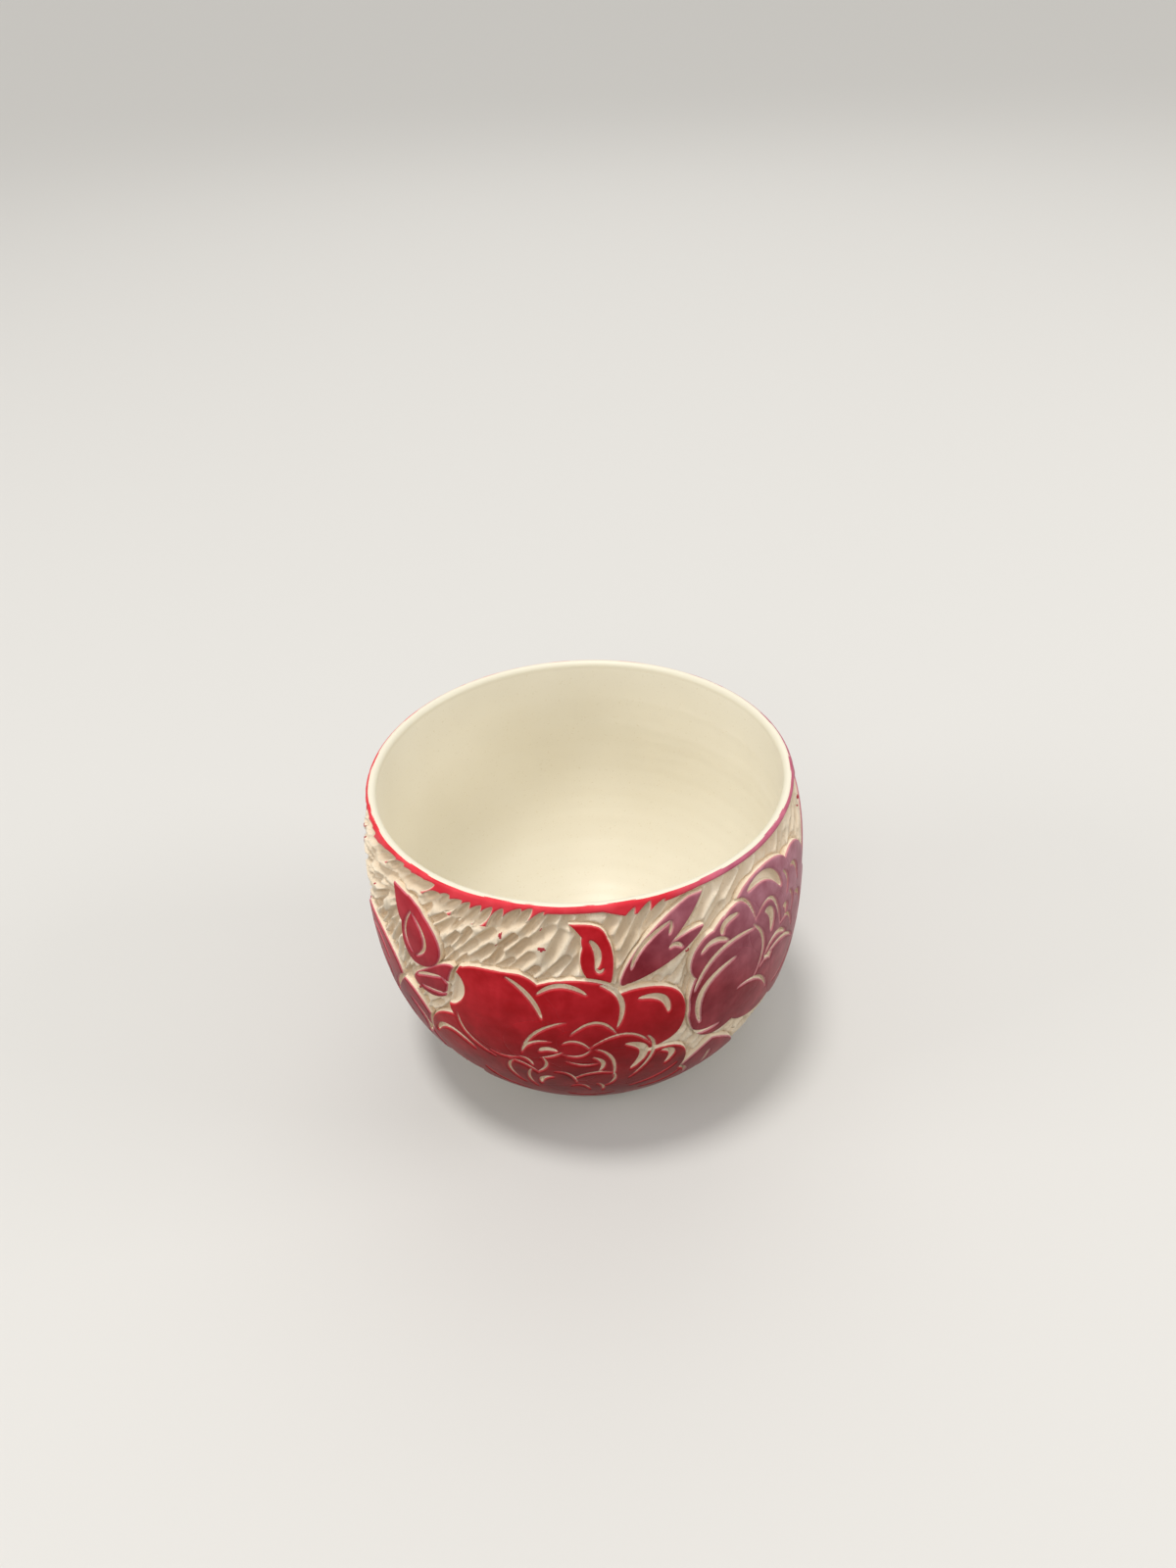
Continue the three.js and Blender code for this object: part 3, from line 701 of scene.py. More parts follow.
def pattern() -> list[Motif]:
    """The islands of slip. A groove parts each bloom from what lies behind it.

    Returns:
        The motifs, what lies in front first.
    """
    red = flower(Slip.RED, -3.3, 0.45, [
        Petal("red_heart_core", (0, -3.5), 0, 7.5, 7.5),
        Petal("red_heart_right", (1, -4.5), 55, 14, 13.5),
        Petal("red_heart_left", (-0.5, -3), -78, 13.5, 10.5),
        Petal("red_heart_top", (1.5, 1), 2, 12.5, 11.5),
        Petal("red_heart_crest", (-0.5, 0), -40, 17, 12.5),
        Petal("red_heart_low", (0.5, 0), 188, 10.5, 13),
        Petal("red_petal_left", (-4, 3), -40, 25, 20.5, lobes=5, lobe_depth=1.0),
        Petal("red_petal_left", (-16, 14), -28, 10.4, 11, full=0.1, point=0.35),
        Petal("red_petal_top", (-0.5, 8), -3, 16.2, 16.5),
        Petal("red_petal_right", (3.5, 6.5), 50, 17.6, 15.5, lobes=3, lobe_depth=0.9),
        Petal("red_petal_far_right", (5.5, 0), 106, 15, 13.5),
        Petal("red_petal_low", (0.5, -5), 183, 19.5, 17),
        Petal("red_petal_low_left", (-2.5, -3), -130, 23, 18),
        Petal("red_petal_low_right", (4.5, -3), 137, 20, 17),
        Petal("red_petal_far_left", (-9.5, -5), -66, 23, 17),
    ], RED_CUTS, "red")
    plum = flower(Slip.PLUM, 51.5, 0.668, [
        Petal("plum_heart_core", (0, -1.5), 10, 8, 7.5),
        Petal("plum_heart_crest", (-1.5, -1), -3, 13.5, 11),
        Petal("plum_heart_right", (-0.5, 0), 72, 13, 10.5),
        Petal("plum_petal_left", (-2.5, -2.5), -88, 18.5, 19.5),
        Petal("plum_petal_upper_left", (-5, 2.5), -40, 15, 13),
        Petal("plum_petal_top", (-2.5, 3.5), 2, 15.8, 16.5),
        Petal("plum_petal_small", (-8, 3.5), -60, 13.5, 10),
        Petal("plum_petal_right", (2.5, 3.5), 50, 15.5, 14),
        Petal("plum_petal_low_right", (0.5, -1), 140, 16.5, 15),
        Petal("plum_petal_low_left", (-2, -2), 196, 13, 14),
        Petal("plum_petal_far_right", (3.5, 0.5), 94, 16, 14),
    ], PLUM_CUTS, "plum")
    bud = Petal("leaf_bud", (0, 0), -39.2, 13.3, 12.6, full=-0.14, point=0.3, curl=4)
    bud_tip = Petal("leaf_bud", (-3.1, 7.2), -39.5, 9, 7.8, full=-0.45, point=0.37, curl=-1.3)
    bud_low = Petal("leaf_bud_low", (0, 0), 80.3, 12.3, 6.6, full=0.25, curl=-5.5)
    comma = Petal("leaf_curled", (0, 0), -18, 11.2, 6, full=0.28, point=0.1, curl=2.3)
    hook = Petal("leaf_curled", (-0.85, 10.5), -49.3, 5.4, 4, full=-0.2, point=0.76, curl=-1.1)
    neck = Petal("leaf_curled", (-1.2, 6.3), -4, 6.4, 4.4, full=0)
    broad = Petal("leaf_broad", (0, 0), 35.4, 22.1, 6.3, full=0.42, point=0.44, curl=4.8)
    broad_tip = Petal("leaf_broad", (0.5, 0.3), 59.3, 16.8, 3.9, full=0.41, point=0.32, curl=1.1)
    leaves = [
        Motif("leaf_bud", Slip.ROSE, -40.4, 0.737, (bud, bud_tip),
              cuts((-46.3, 60.9, -49, 55.6, -46.6, 51.6, 0.9),
                   (-45.8, 60.6, -41.9, 55.8, -45.4, 51.3, 1.1)), "bud"),
        Motif("leaf_bud_low", Slip.ROSE, -47.7, 0.65, (bud_low,),
              cuts((-46.2, 46.4, -42.6, 48.1, -37.4, 49.6, 1.1), (-37.3, 49.6, -34.8, 47.7, -37.3, 45.7, 0.9),
                   (-37.2, 45.7, -41, 44.9, -44.8, 44.5, 0.8)), "bud"),
        Motif("leaf_curled", Slip.RED, 3.6, 0.773, (comma, hook, neck),
              cuts((0.6, 63.4, 2.2, 60.8, 1.6, 57.6, 1.7), (1.5, 57.9, 2.4, 57, 3.4, 57.7, 1.0))),
        Motif("leaf_broad", Slip.PLUM, 7.2, 0.776, (broad, broad_tip),
              cuts((9.6, 56.8, 13, 61.4, 19.8, 64.5, 1.3), (19.9, 64.4, 19.7, 63.2, 19.1, 62, 0.9),
                   (18.9, 59.3, 20.5, 59.7, 22.1, 58.7, 1.2))),
        leaf("leaf_low", Slip.PLUM, 32.8, 0.123, -2, 23.2, 22),
        leaf("leaf_side_up", Slip.PLUM, 88.4, 0.595, 6, 22, 13, 2),
        leaf("leaf_side_low", Slip.RED, 88.4, 0.537, 172, 26, 16),
        leaf("leaf_back_up", Slip.ROSE, 171.4, 0.668, -12, 19, 12, -2),
        leaf("leaf_back_low", Slip.PLUM, 171.4, 0.595, 184, 29, 17),
        leaf("leaf_left_up", Slip.RED, -103.1, 0.639, 10, 19, 12, 2),
        leaf("leaf_left_low", Slip.ROSE, -105.8, 0.566, 183, 27, 16),
    ]
    return [
        *red, *plum,
        *peony("rose", Slip.ROSE, -69.6, 0.428, 20, 10),
        *peony("back_red", Slip.RED, 131.2, 0.537, 23, 40),
        *peony("back_plum", Slip.PLUM, -143.2, 0.566, 23, -15),
        *leaves,
    ]


@dataclass(frozen=True)
class Manner:
    """How the gouge was held near one place on the wall: millimetres, and degrees from straight up."""

    turn: float
    up: float
    heading: float
    length: float
    width: float
    depth: float
    reach: float = 7.0


MANNERS = (
    Manner(-18, 64, 30, 8.0, 2.2, 1.25),
    Manner(-27, 60, 34, 7.0, 2.0, 1.2),
    Manner(-13, 57.5, 66, 6.5, 1.8, 1.1, 5),
    Manner(-38, 64, 55, 7.5, 2.2, 1.2),
    Manner(-60, 64, 84, 11.0, 2.4, 1.25),
    Manner(-75, 60, 80, 10.0, 2.3, 1.2),
    Manner(-60, 51, 6, 9.0, 1.8, 1.1, 5),
    Manner(-40, 47, 40, 5.5, 1.6, 1.0, 5),
    Manner(-5, 61, 14, 11.0, 4.4, 0.6, 4.5),
    Manner(9, 64, 24, 9.0, 2.6, 0.8, 5),
    Manner(14, 55, 62, 9.0, 2.0, 0.85, 5),
    Manner(24, 48, 8, 5.0, 1.5, 1.0, 5),
    Manner(33, 64, 52, 12.0, 2.9, 0.85, 8),
    Manner(68, 64, 46, 11.0, 2.6, 0.9, 9),
    Manner(28, 33, 52, 8.0, 2.0, 0.9, 6),
    Manner(100, 30, 35, 8.0, 2.2, 1.0, 14),
    Manner(160, 45, 30, 8.0, 2.2, 1.1, 14),
    Manner(-170, 15, 80, 9.0, 2.4, 1.0, 14),
    Manner(-110, 30, 38, 8.0, 2.2, 1.1, 14),
    Manner(0, 10, 84, 9.0, 2.4, 1.0, 12),
)


# Lower edge of the rim band between the teeth: degrees round the cup and millimetres up the wall
BAND_EDGE = (
    (-180, 64.9), (-60, 65.8), (-45, 66.3), (-37, 64.6), (-30, 63.8), (-22, 64.6), (-15, 66.2), (-9, 68.4),
    (4, 68.5), (9, 67.3), (15, 67.3), (19, 68.3), (28, 68.8), (80, 68.8), (95, 65),
)


@dataclass
class Gouging:
    """Strokes of the gouge that lowered the ground, and those that cut teeth into the rim band.

    Sizes are millimetres and turns are degrees. A pair is the least and the greatest value that chance picks.
    """

    manners: tuple[Manner, ...] = MANNERS
    far_weight: float = 1e-3
    tries: int = 26000
    spacing_along: float = 0.58
    spacing_across: float = 0.86
    heading_spread: float = 6.0
    size_shares: Span = (0.8, 1.2)
    heel: float = 0.55
    heel_growth: float = 0.45
    entry_share: float = 0.35
    round_from: float = 0.7
    round_span: float = 0.3
    fullness: float = 0.8
    teeth: int = 116
    tooth_shift: float = 0.3
    tooth_rooting: float = 4.0
    tooth_heading_spread: float = 4.0
    tooth_length_shares: Span = (0.75, 1.05)
    tooth_widths: Span = (2.0, 3.0)
    tooth_depth: float = 1.0
    tooth_bluntness: float = 0.8
    tooth_top: float = 0.75
    tooth_flat_share: float = 0.8
    tooth_top_spread: float = 1.3
    tooth_top_power: float = 1.6
    calm_edge: float = 1.5
    steepest_tooth: float = 62.0
    broad_turn: float = -31.0
    broad_span: float = 12.0
    broad_drop: float = 0.7
    specks: int = 150
    speck_radii: Span = (0.25, 0.6)
    speck_stretches: Span = (0.6, 1.6)
    lowest_speck: float = 30.0
    seed: int = 7

    def manner(self, x: Array, y: Array) -> Array:
        """Heading, length, width and depth at places, from the manners nearby.

        Each manner weighs the exponential of minus half the squared distance over its reach squared, plus the
        far weight over one more than that, so that far places take a mean.

        Args:
            x: Places round the belly.
            y: Places up the wall.

        Returns:
            One row for each place.
        """
        held = np.array([[one.turn, one.up, one.reach, one.heading, one.length, one.width, one.depth]
                         for one in self.manners])
        off_x = short_way(x[:, None] - np.radians(held[:, 0]) * FORM.belly_radius)
        apart = (off_x**2 + (y[:, None] - held[:, 1]) ** 2) / held[:, 2] ** 2
        weight = np.exp(-apart / 2) + self.far_weight / (1 + apart)
        return weight @ held[:, 3:] / weight.sum(axis=1, keepdims=True)

    def places(self) -> Array:
        """Middles, headings, lengths, widths and depths of the strokes.

        Strokes fall at random and stay where no other one lies in an ellipse round them, which is a share of
        their length and width. Those that cut the band's teeth come first.

        Returns:
            One row for each stroke.
        """
        chance = np.random.default_rng(self.seed)
        x = chance.uniform(-AROUND / 2, AROUND / 2, self.tries)
        y = chance.uniform(FORM.bare_foot, WALL.length, self.tries)
        held = self.manner(x, y)
        heading = held[:, 0] + chance.normal(0, self.heading_spread, self.tries)
        size = held[:, 1:] * chance.uniform(*self.size_shares, (self.tries, 3))
        kept = self.tooth_places()
        for row in np.column_stack([x, y, heading, size]):
            turn = math.radians(row[2])
            off_x, off_y = short_way(kept[:, 0] - row[0]), kept[:, 1] - row[1]
            along = (off_x * math.sin(turn) + off_y * math.cos(turn)) / (self.spacing_along * row[3])
            across = (off_x * math.cos(turn) - off_y * math.sin(turn)) / (self.spacing_across * row[4])
            if not (along**2 + across**2 < 1).any():
                kept = np.vstack([kept, row])
        return kept

    def depths(self, x: Array, y: Array) -> Array:
        """Depth of the gouged ground on a grid: the deepest stroke at each place.

        Across a stroke the depth falls as one minus the square of the share of the half width, and the half
        width grows from the heel with the root of the share of the length. Along it the depth rises over the
        entry and stops in a round end.

        Args:
            x: Grid of places round the belly, the same down each column.
            y: Grid of places up the wall, the same along each row.

        Returns:
            Depths in millimetres.
        """
        depth = np.zeros(x.shape)
        places_x, places_y = x[0], y[:, 0]
        for middle_x, middle_y, heading, length, width, deepest in self.places():
            reach = length / 2 + 0.5
            off_x = short_way(places_x - middle_x)
            column = np.nonzero(np.abs(off_x) < reach)[0]
            row = slice(*np.searchsorted(places_y, [middle_y - reach, middle_y + reach]))
            turn = math.radians(heading)
            off_x, off_y = off_x[column], places_y[row][:, None] - middle_y
            along = (off_x * math.sin(turn) + off_y * math.cos(turn)) / (length / 2)
            share = np.clip((along + 1) / 2, 1e-3, 1)
            half = width / 2 * (self.heel + self.heel_growth * np.sqrt(share))
            across = (off_x * math.cos(turn) - off_y * math.sin(turn)) / half
            entry = np.clip(share / self.entry_share, 0, 1) ** self.fullness
            tip = np.clip((along - self.round_from) / self.round_span, 0, None)
            cut = deepest * np.clip(1 - across**2 - tip**2, 0, None) ** self.fullness * entry
            cut[np.abs(along) > 1] = 0
            band = depth[row]
            band[:, column] = np.maximum(band[:, column], cut)
        return depth

    def missed(self, x: Array, y: Array) -> Array:
        """Where specks of slip were left: small rounds at places chosen by chance.

        Args:
            x: Grid of places round the belly, the same down each column.
            y: Grid of places up the wall, the same along each row.

        Returns:
            True inside a speck.
        """
        chance = np.random.default_rng(self.seed + 2)
        inside = np.zeros(x.shape, bool)
        for _ in range(self.specks):
            middle_x = chance.uniform(-AROUND / 2, AROUND / 2)
            middle_y = chance.uniform(self.lowest_speck, WALL.length)
            radius, stretch = chance.uniform(*self.speck_radii), chance.uniform(*self.speck_stretches)
            inside |= ((x - middle_x) * stretch) ** 2 + ((y - middle_y) / stretch) ** 2 < radius**2
        return inside

    def tooth_places(self) -> Array:
        """Strokes that run up into the rim band.

        They stand side by side under the band and stop short of its top by chance, and by a drop that is
        the exponential of minus the squared share of the broad span. There are none where the band is no
        wider than the calm edge.

        Returns:
            One row for each stroke: middle, heading, length, width and depth.
        """
        chance = np.random.default_rng(self.seed + 1)
        shift = chance.uniform(-self.tooth_shift, self.tooth_shift, self.teeth)
        x = (np.arange(self.teeth) + shift) * AROUND / self.teeth - AROUND / 2
        x = x[WALL.length - band_edge(x) > self.calm_edge]
        held = self.manner(x, np.full(len(x), WALL.length - self.tooth_rooting))
        heading = np.minimum(held[:, 0], self.steepest_tooth)
        heading = heading + chance.normal(0, self.tooth_heading_spread, len(x))
        length = held[:, 1] * chance.uniform(*self.tooth_length_shares, len(x))
        width = chance.uniform(*self.tooth_widths, len(x))
        flat = width / 2 * np.sin(np.radians(heading)) ** 2
        off_broad = (np.degrees(x / FORM.belly_radius) - self.broad_turn) / self.broad_span
        short = self.tooth_top_spread * chance.uniform(0, 1, len(x)) ** self.tooth_top_power
        top = WALL.length + self.tooth_top - self.tooth_flat_share * flat - short
        top -= self.broad_drop * np.exp(-(off_broad**2))
        return np.column_stack([x, top - length / 2 * np.cos(np.radians(heading)), heading, length, width,
                                np.maximum(held[:, 3], self.tooth_depth)])

    def band_teeth(self) -> list[tuple[Array, Array]]:
        """The strokes that run into the band.

        Returns:
            The middle line of each, and the half width at each of its points.
        """
        strokes = []
        for x, y, heading, length, width, _ in self.tooth_places():
            middle = np.array([x, y])
            reach = headed(np.array([0.0]), np.array([length / 2]), heading)[0]
            ends = tuple(middle - reach), (x, y), tuple(middle + reach)
            strokes.append(Cut(*ends, width, self.tooth_bluntness).spine(24))
        return strokes


def band_edge(x: Array) -> Array:
    """How far up the wall the rim band begins, at places round the belly."""
    return np.interp(np.degrees(x / FORM.belly_radius), *np.transpose(BAND_EDGE), period=360)


class Carving:
    """The whole carved wall as fields on the unrolled wall: above 0 inside an island of slip.

    Sizes are millimetres. Islands of one bloom overlap by the size of touch, and others are a groove apart.
    The band's topmost strip, as high as band_top, stays whole. Only neighbours' outlines are looked at, and
    only places within a tooth's span and rise.
    """

    groove: float = 0.9
    touch: float = -0.4
    neighbour: float = 60.0
    tooth_span: float = 9.0
    tooth_rise: float = 3.0
    band_top: float = 0.3

    def __init__(self, motifs: list[Motif], gouging: Gouging) -> None:
        """Keeps the motifs, the front one first, and the strokes that meet the rim band.

        Args:
            motifs: The islands of slip.
            gouging: The gouge's work on the ground.
        """
        self.motifs = motifs
        self.gouging = gouging
        self.teeth = gouging.band_teeth()

    def island(self, number: int, x: Array, y: Array) -> Array:
        """Field of one island: inside its outline, clear of those in front, and outside its cuts.

        Islands of one bloom overlap by as much as their shoulders are wide, so that they meet flush.

        Args:
            number: The motif's number, the front one being 0.
            x: Places round the belly, as a flat array.
            y: Places up the wall.

        Returns:
            Distances in millimetres, above 0 inside.
        """
        motif = self.motifs[number]
        value = motif.body(x, y)
        for other in self.motifs[:number]:
            if abs(short_way(other.middle[0] - motif.middle[0])) < self.neighbour:
                room = self.touch if other.bloom == motif.bloom else self.groove
                value = np.minimum(value, -other.body(x, y) - room)
        return np.minimum(value, -motif.carved(x, y))

    def band(self, x: Array, y: Array) -> Array:
        """Field of the rim band: above its foot, outside the teeth's gaps and clear of motifs below its top.

        Args:
            x: Places round the belly, as a flat array.
            y: Places up the wall.

        Returns:
            Distances in millimetres, above 0 inside.
        """
        value = y - band_edge(x)
        for line, half in self.teeth:
            off = short_way(x - line[0, 0]) + line[0, 0]
            beside = np.abs(off - line[:, 0].mean()) < self.tooth_span
            close = beside & (y < line[:, 1].max() + self.tooth_rise)
            gap = np.hypot(off[close, None] - line[:, 0], y[close, None] - line[:, 1])
            value[close] = np.minimum(value[close], -(half - gap).max(axis=1))
        for motif in self.motifs:
            if motif.high[1] > BAND_FOOT - 1:
                clear = np.maximum(-motif.body(x, y) - self.groove, y - WALL.length + self.band_top)
                value = np.minimum(value, clear)
        return value

    def slip(self, x: Array, y: Array) -> tuple[Array, Array]:
        """Field of all the islands and the band together, for the clay between them.

        Args:
            x: Grid of places round the belly.
            y: Grid of places up the wall.

        Returns:
            Distances in millimetres, above 0 inside an island, and how far inside a motif's own cut a place
            lies.
        """
        flat_x, flat_y = x.ravel(), y.ravel()
        value, carved, front, beside = (np.full(flat_x.shape, -FAR) for _ in range(4))
        bloom = ""
        for motif in self.motifs:
            if motif.bloom != bloom:
                front = np.maximum(front, beside)
                beside = np.full(flat_x.shape, -FAR)
                bloom = motif.bloom
            close = motif.near(motif.unrolled(flat_x), flat_y, FAR)
            body = motif.body(flat_x[close], flat_y[close])
            lines = motif.carved(flat_x[close], flat_y[close])
            room = np.minimum(-front[close] - self.groove, -beside[close] - self.touch)
            value[close] = np.maximum(value[close], np.minimum(np.minimum(body, -lines), room))
            carved[close] = np.maximum(carved[close], np.minimum(body, lines))
            beside[close] = np.maximum(beside[close], body)
        high = flat_y > BAND_FOOT - FAR
        value[high] = np.maximum(value[high], self.band(flat_x[high], flat_y[high]))
        return value.reshape(x.shape), carved.reshape(x.shape)


LEAST_SHARE, GREATEST_SHARE = 0.02, 0.98


def clipped(x: Array, y: Array, value: Array, closed: bool) -> tuple[Array, Array, Array]:
    """Triangles of a grid, clipped on the line where a field is 0.

    The line crosses an edge at the share of the inner value in the sum of both sizes, held off the corners.
    A triangle with one corner inside leaves its tip, and one with two leaves a piece of four sides.

    Args:
        x: Grid of places round the belly.
        y: Grid of places up the wall.
        value: The field on the grid.
        closed: Whether the grid closes round the cup.

    Returns:
        The corners' places on the unrolled wall, the field there, and the triangles.
    """
    index = np.arange(x.size).reshape(x.shape)
    right = np.roll(index, -1, axis=1) if closed else index[:, 1:]
    left = index if closed else index[:, :-1]
    triangles = np.concatenate([
        np.stack([left[:-1], right[:-1], right[1:]], axis=-1).reshape(-1, 3),
        np.stack([left[:-1], right[1:], left[1:]], axis=-1).reshape(-1, 3)])
    places = np.stack([x.ravel(), y.ravel()], axis=-1)
    field_at = value.ravel()
    inside = field_at > 0
    count = inside[triangles].sum(axis=1)
    split = []
    for wanted in (1, 2):
        cut = triangles[count == wanted]
        odd = inside[cut] if wanted == 1 else ~inside[cut]
        order = (odd.argmax(axis=1)[:, None] + np.arange(3)) % 3
        split.append(np.take_along_axis(cut, order, axis=1).T)
    pairs = np.concatenate([np.stack([a, other], axis=-1) for a, b, c in split for other in (b, c)])
    keys, numbers = np.unique(np.sort(pairs, axis=1), axis=0, return_inverse=True)
    low, high = keys.T
    share = np.clip(field_at[low] / (field_at[low] - field_at[high]), LEAST_SHARE, GREATEST_SHARE)[:, None]
    span = places[high] - places[low]
    span[:, 0] = short_way(span[:, 0])
    places = np.concatenate([places, places[low] + share * span])
    field_at = np.concatenate([field_at, np.zeros(len(keys))])
    (tip, _, _), (_, b, c) = split
    crossings = np.split(numbers.reshape(-1) + x.size, np.cumsum([len(tip), len(tip), len(b)]))
    faces = np.concatenate([triangles[count == 3], *(np.stack(corners, axis=-1) for corners in (
        (tip, crossings[0], crossings[1]), (crossings[2], b, c), (crossings[2], c, crossings[3])))])
    used, numbers = np.unique(faces, return_inverse=True)
    return places[used], field_at[used], numbers.reshape(-1, 3)


def island_mesh(name: str, x: Array, y: Array, value: Array, closed: bool,
                thickness: float) -> bpy.types.Object:
    """A closed island cut from a grid where its field is above 0, with rounded shoulders and sloped sides.

    The face sinks from the slip's face as the shoulder says, and a back sheet at one depth closes the island,
    with a wall of two triangles on each open edge.

    Args:
        name: The object's name.
        x: Grid of places round the belly.
        y: Grid of places up the wall.
        value: The island's field on the grid, already moved out by the foot of its sloped sides.
        closed: Whether the grid closes round the cup.
        thickness: Depth of the island's foot in millimetres.

    Returns:
        The new object, with the depth under the slip's face as the attribute carve_depth.
    """
    places, field_at, face = clipped(x, y, value, closed)
    depth = np.minimum(SHOULDER.depth(field_at), thickness - 0.05)
    total = len(places)
    sides = np.concatenate([face[:, [0, 1]], face[:, [1, 2]], face[:, [2, 0]]])
    _, first, uses = np.unique(np.sort(sides, axis=1), axis=0, return_index=True, return_counts=True)
    start, end = sides[first[uses == 1]].T
    walls = np.concatenate([np.stack([end, start, start + total], axis=-1),
                            np.stack([end, start + total, end + total], axis=-1)])
    faces = np.concatenate([face, walls, face[:, ::-1] + total])
    points = np.concatenate([wrap(*places.T, sunk) for sunk in (depth, thickness)])
    carve_depth = np.concatenate([depth, np.full(total, thickness)])
    return make_object(name, points, faces, {"carve_depth": carve_depth})


@dataclass(frozen=True)
class Shoulder:
    """Section through the edge of an island, in millimetres."""

    start: float = 0.3
    foot: float = 0.24
    drop: float = 0.13
    steepness: float = 3.0

    def depth(self, value: Array) -> Array:
        """Depth below the slip's face: drop times the cube of the distance past the shoulder over its start.

        Args:
            value: The field, moved out by the foot, so that it is 0 where the sloped side ends.

        Returns:
            Depths in millimetres.
        """
        inward = np.clip((self.start + self.foot - value) / self.start, 0.0, None)
        return self.drop * inward**self.steepness


SHOULDER = Shoulder()


def srgb(code: str) -> tuple[float, float, float, float]:
    """A colour written as six hex digits, as Blender's linear values: the inverse of the sRGB curve."""
    parts = [int(code[i:i + 2], 16) / 255 for i in (0, 2, 4)]
    linear = [part / 12.92 if part <= 0.04045 else ((part + 0.055) / 1.055) ** 2.4 for part in parts]
    return (*linear, 1.0)


UP, RIGHT, UP_RIGHT = (0.0, 0.0, 1.0), (1.0, 0.0, 0.0), (0.6, 0.0, 0.8)


class Nodes:
    """A small helper that lays out one material's nodes."""

    def __init__(self, name: str) -> None:
        """Starts a material with an empty node tree, a shader and an output.

        Args:
            name: The material's name.
        """
        self.material = bpy.data.materials.new(name)
        self.material.use_nodes = True
        self.tree = self.material.node_tree
        self.tree.nodes.clear()
        self.shader = self.add("ShaderNodeBsdfPrincipled")
        output = self.add("ShaderNodeOutputMaterial")
        self.link(self.shader.outputs[0], output.inputs[0])

    def add(self, kind: str, **settings: object) -> bpy.types.Node:
        """Adds a node.

        Args:
            kind: The node's type.
            settings: Its settings by name.

        Returns:
            The node.
        """
        node = self.tree.nodes.new(kind)
        for label, value in settings.items():
            setattr(node, label, value)
        return node

    def link(self, source: Socket, target: Socket) -> None:
        """Joins an output to an input."""
        self.tree.links.new(source, target)

    def place(self) -> Socket:
        """Object coordinates, which are metres on the cup."""
        return self.add("ShaderNodeTexCoord").outputs["Object"]

    def along(self, direction: Sequence[float]) -> Socket:
        """Metres along a direction: the dot product of it and the place."""
        node = self.add("ShaderNodeVectorMath", operation="DOT_PRODUCT")
        self.link(self.place(), node.inputs[0])
        node.inputs[1].default_value = direction
        return node.outputs["Value"]

    def noise(self, scale: float, detail: float = 3.0, stretch: Sequence[float] = (1, 1, 1)) -> Socket:
        """Noise on Object coordinates.

        Args:
            scale: Cells per metre.
            detail: How many finer noises are laid over it.
            stretch: Factors on the scale along the axes.

        Returns:
            The noise, from 0 to 1.
        """
        mapping = self.add("ShaderNodeMapping")
        mapping.inputs["Scale"].default_value = stretch
        texture = self.add("ShaderNodeTexNoise")
        texture.inputs["Scale"].default_value = scale
        texture.inputs["Detail"].default_value = detail
        self.link(self.place(), mapping.inputs["Vector"])
        self.link(mapping.outputs[0], texture.inputs["Vector"])
        return texture.outputs["Fac"]

    def attribute(self, name: str) -> Socket:
        """A number kept at each vertex."""
        return self.add("ShaderNodeAttribute", attribute_name=name).outputs["Fac"]

    def ramp(self, value: Socket, low: float, high: float, top: float = 1.0) -> Socket:
        """Grey that rises from 0 at low to top at high.

        Args:
            value: What is read.
            low: Where the rise starts.
            high: Where it ends.
            top: The level above it.

        Returns:
            The grey.
        """
        node = self.add("ShaderNodeValToRGB")
        for stop, at, level in zip(node.color_ramp.elements, (low, high), (0.0, top)):
            stop.position = at
            stop.color = (level, level, level, 1)
        self.link(value, node.inputs[0])
        return node.outputs[0]

    def between(self, value: Socket, low: float, high: float, start: float = 0.0, end: float = 1.0) -> Socket:
        """Maps low to high on to start to end, held at both ends.

        Args:
            value: What is read.
            low: Value that gives the start.
            high: Value that gives the end.
            start: Result at low and below it.
            end: Result at high and above it.

        Returns:
            The result.
        """
        node = self.add("ShaderNodeMapRange", clamp=True)
        for socket, number in zip(node.inputs[1:5], (low, high, start, end)):
            socket.default_value = number
        self.link(value, node.inputs[0])
        return node.outputs[0]

    def mix(self, share: Socket | float, first: object, second: object) -> Socket:
        """Mixes two colours.

        Args:
            share: Share of the second, as a number or a socket.
            first: A colour, as six hex digits or a socket.
            second: A colour, as six hex digits or a socket.

        Returns:
            The mixed colour.
        """
        node = self.add("ShaderNodeMix", data_type="RGBA")
        for socket, value in ((node.inputs[0], share), (node.inputs[6], first), (node.inputs[7], second)):
            if isinstance(value, Socket):
                self.link(value, socket)
            else:
                socket.default_value = srgb(value) if isinstance(value, str) else value
        return node.outputs[2]

    def bump(self, height: Socket, distance: float, strength: float,
             under: Optional[Socket] = None) -> Socket:
        """A bump, over another one where that is given.

        Args:
            height: Heights from 0 to 1.
            distance: Metres that a height of 1 stands up.
            strength: Share of the bump that is used.
            under: The bump below it.

        Returns:
            The normal.
        """
        node = self.add("ShaderNodeBump")
        node.inputs["Strength"].default_value = strength
        node.inputs["Distance"].default_value = distance
        self.link(height, node.inputs["Height"])
        if under is not None:
            self.link(under, node.inputs["Normal"])
        return node.outputs[0]

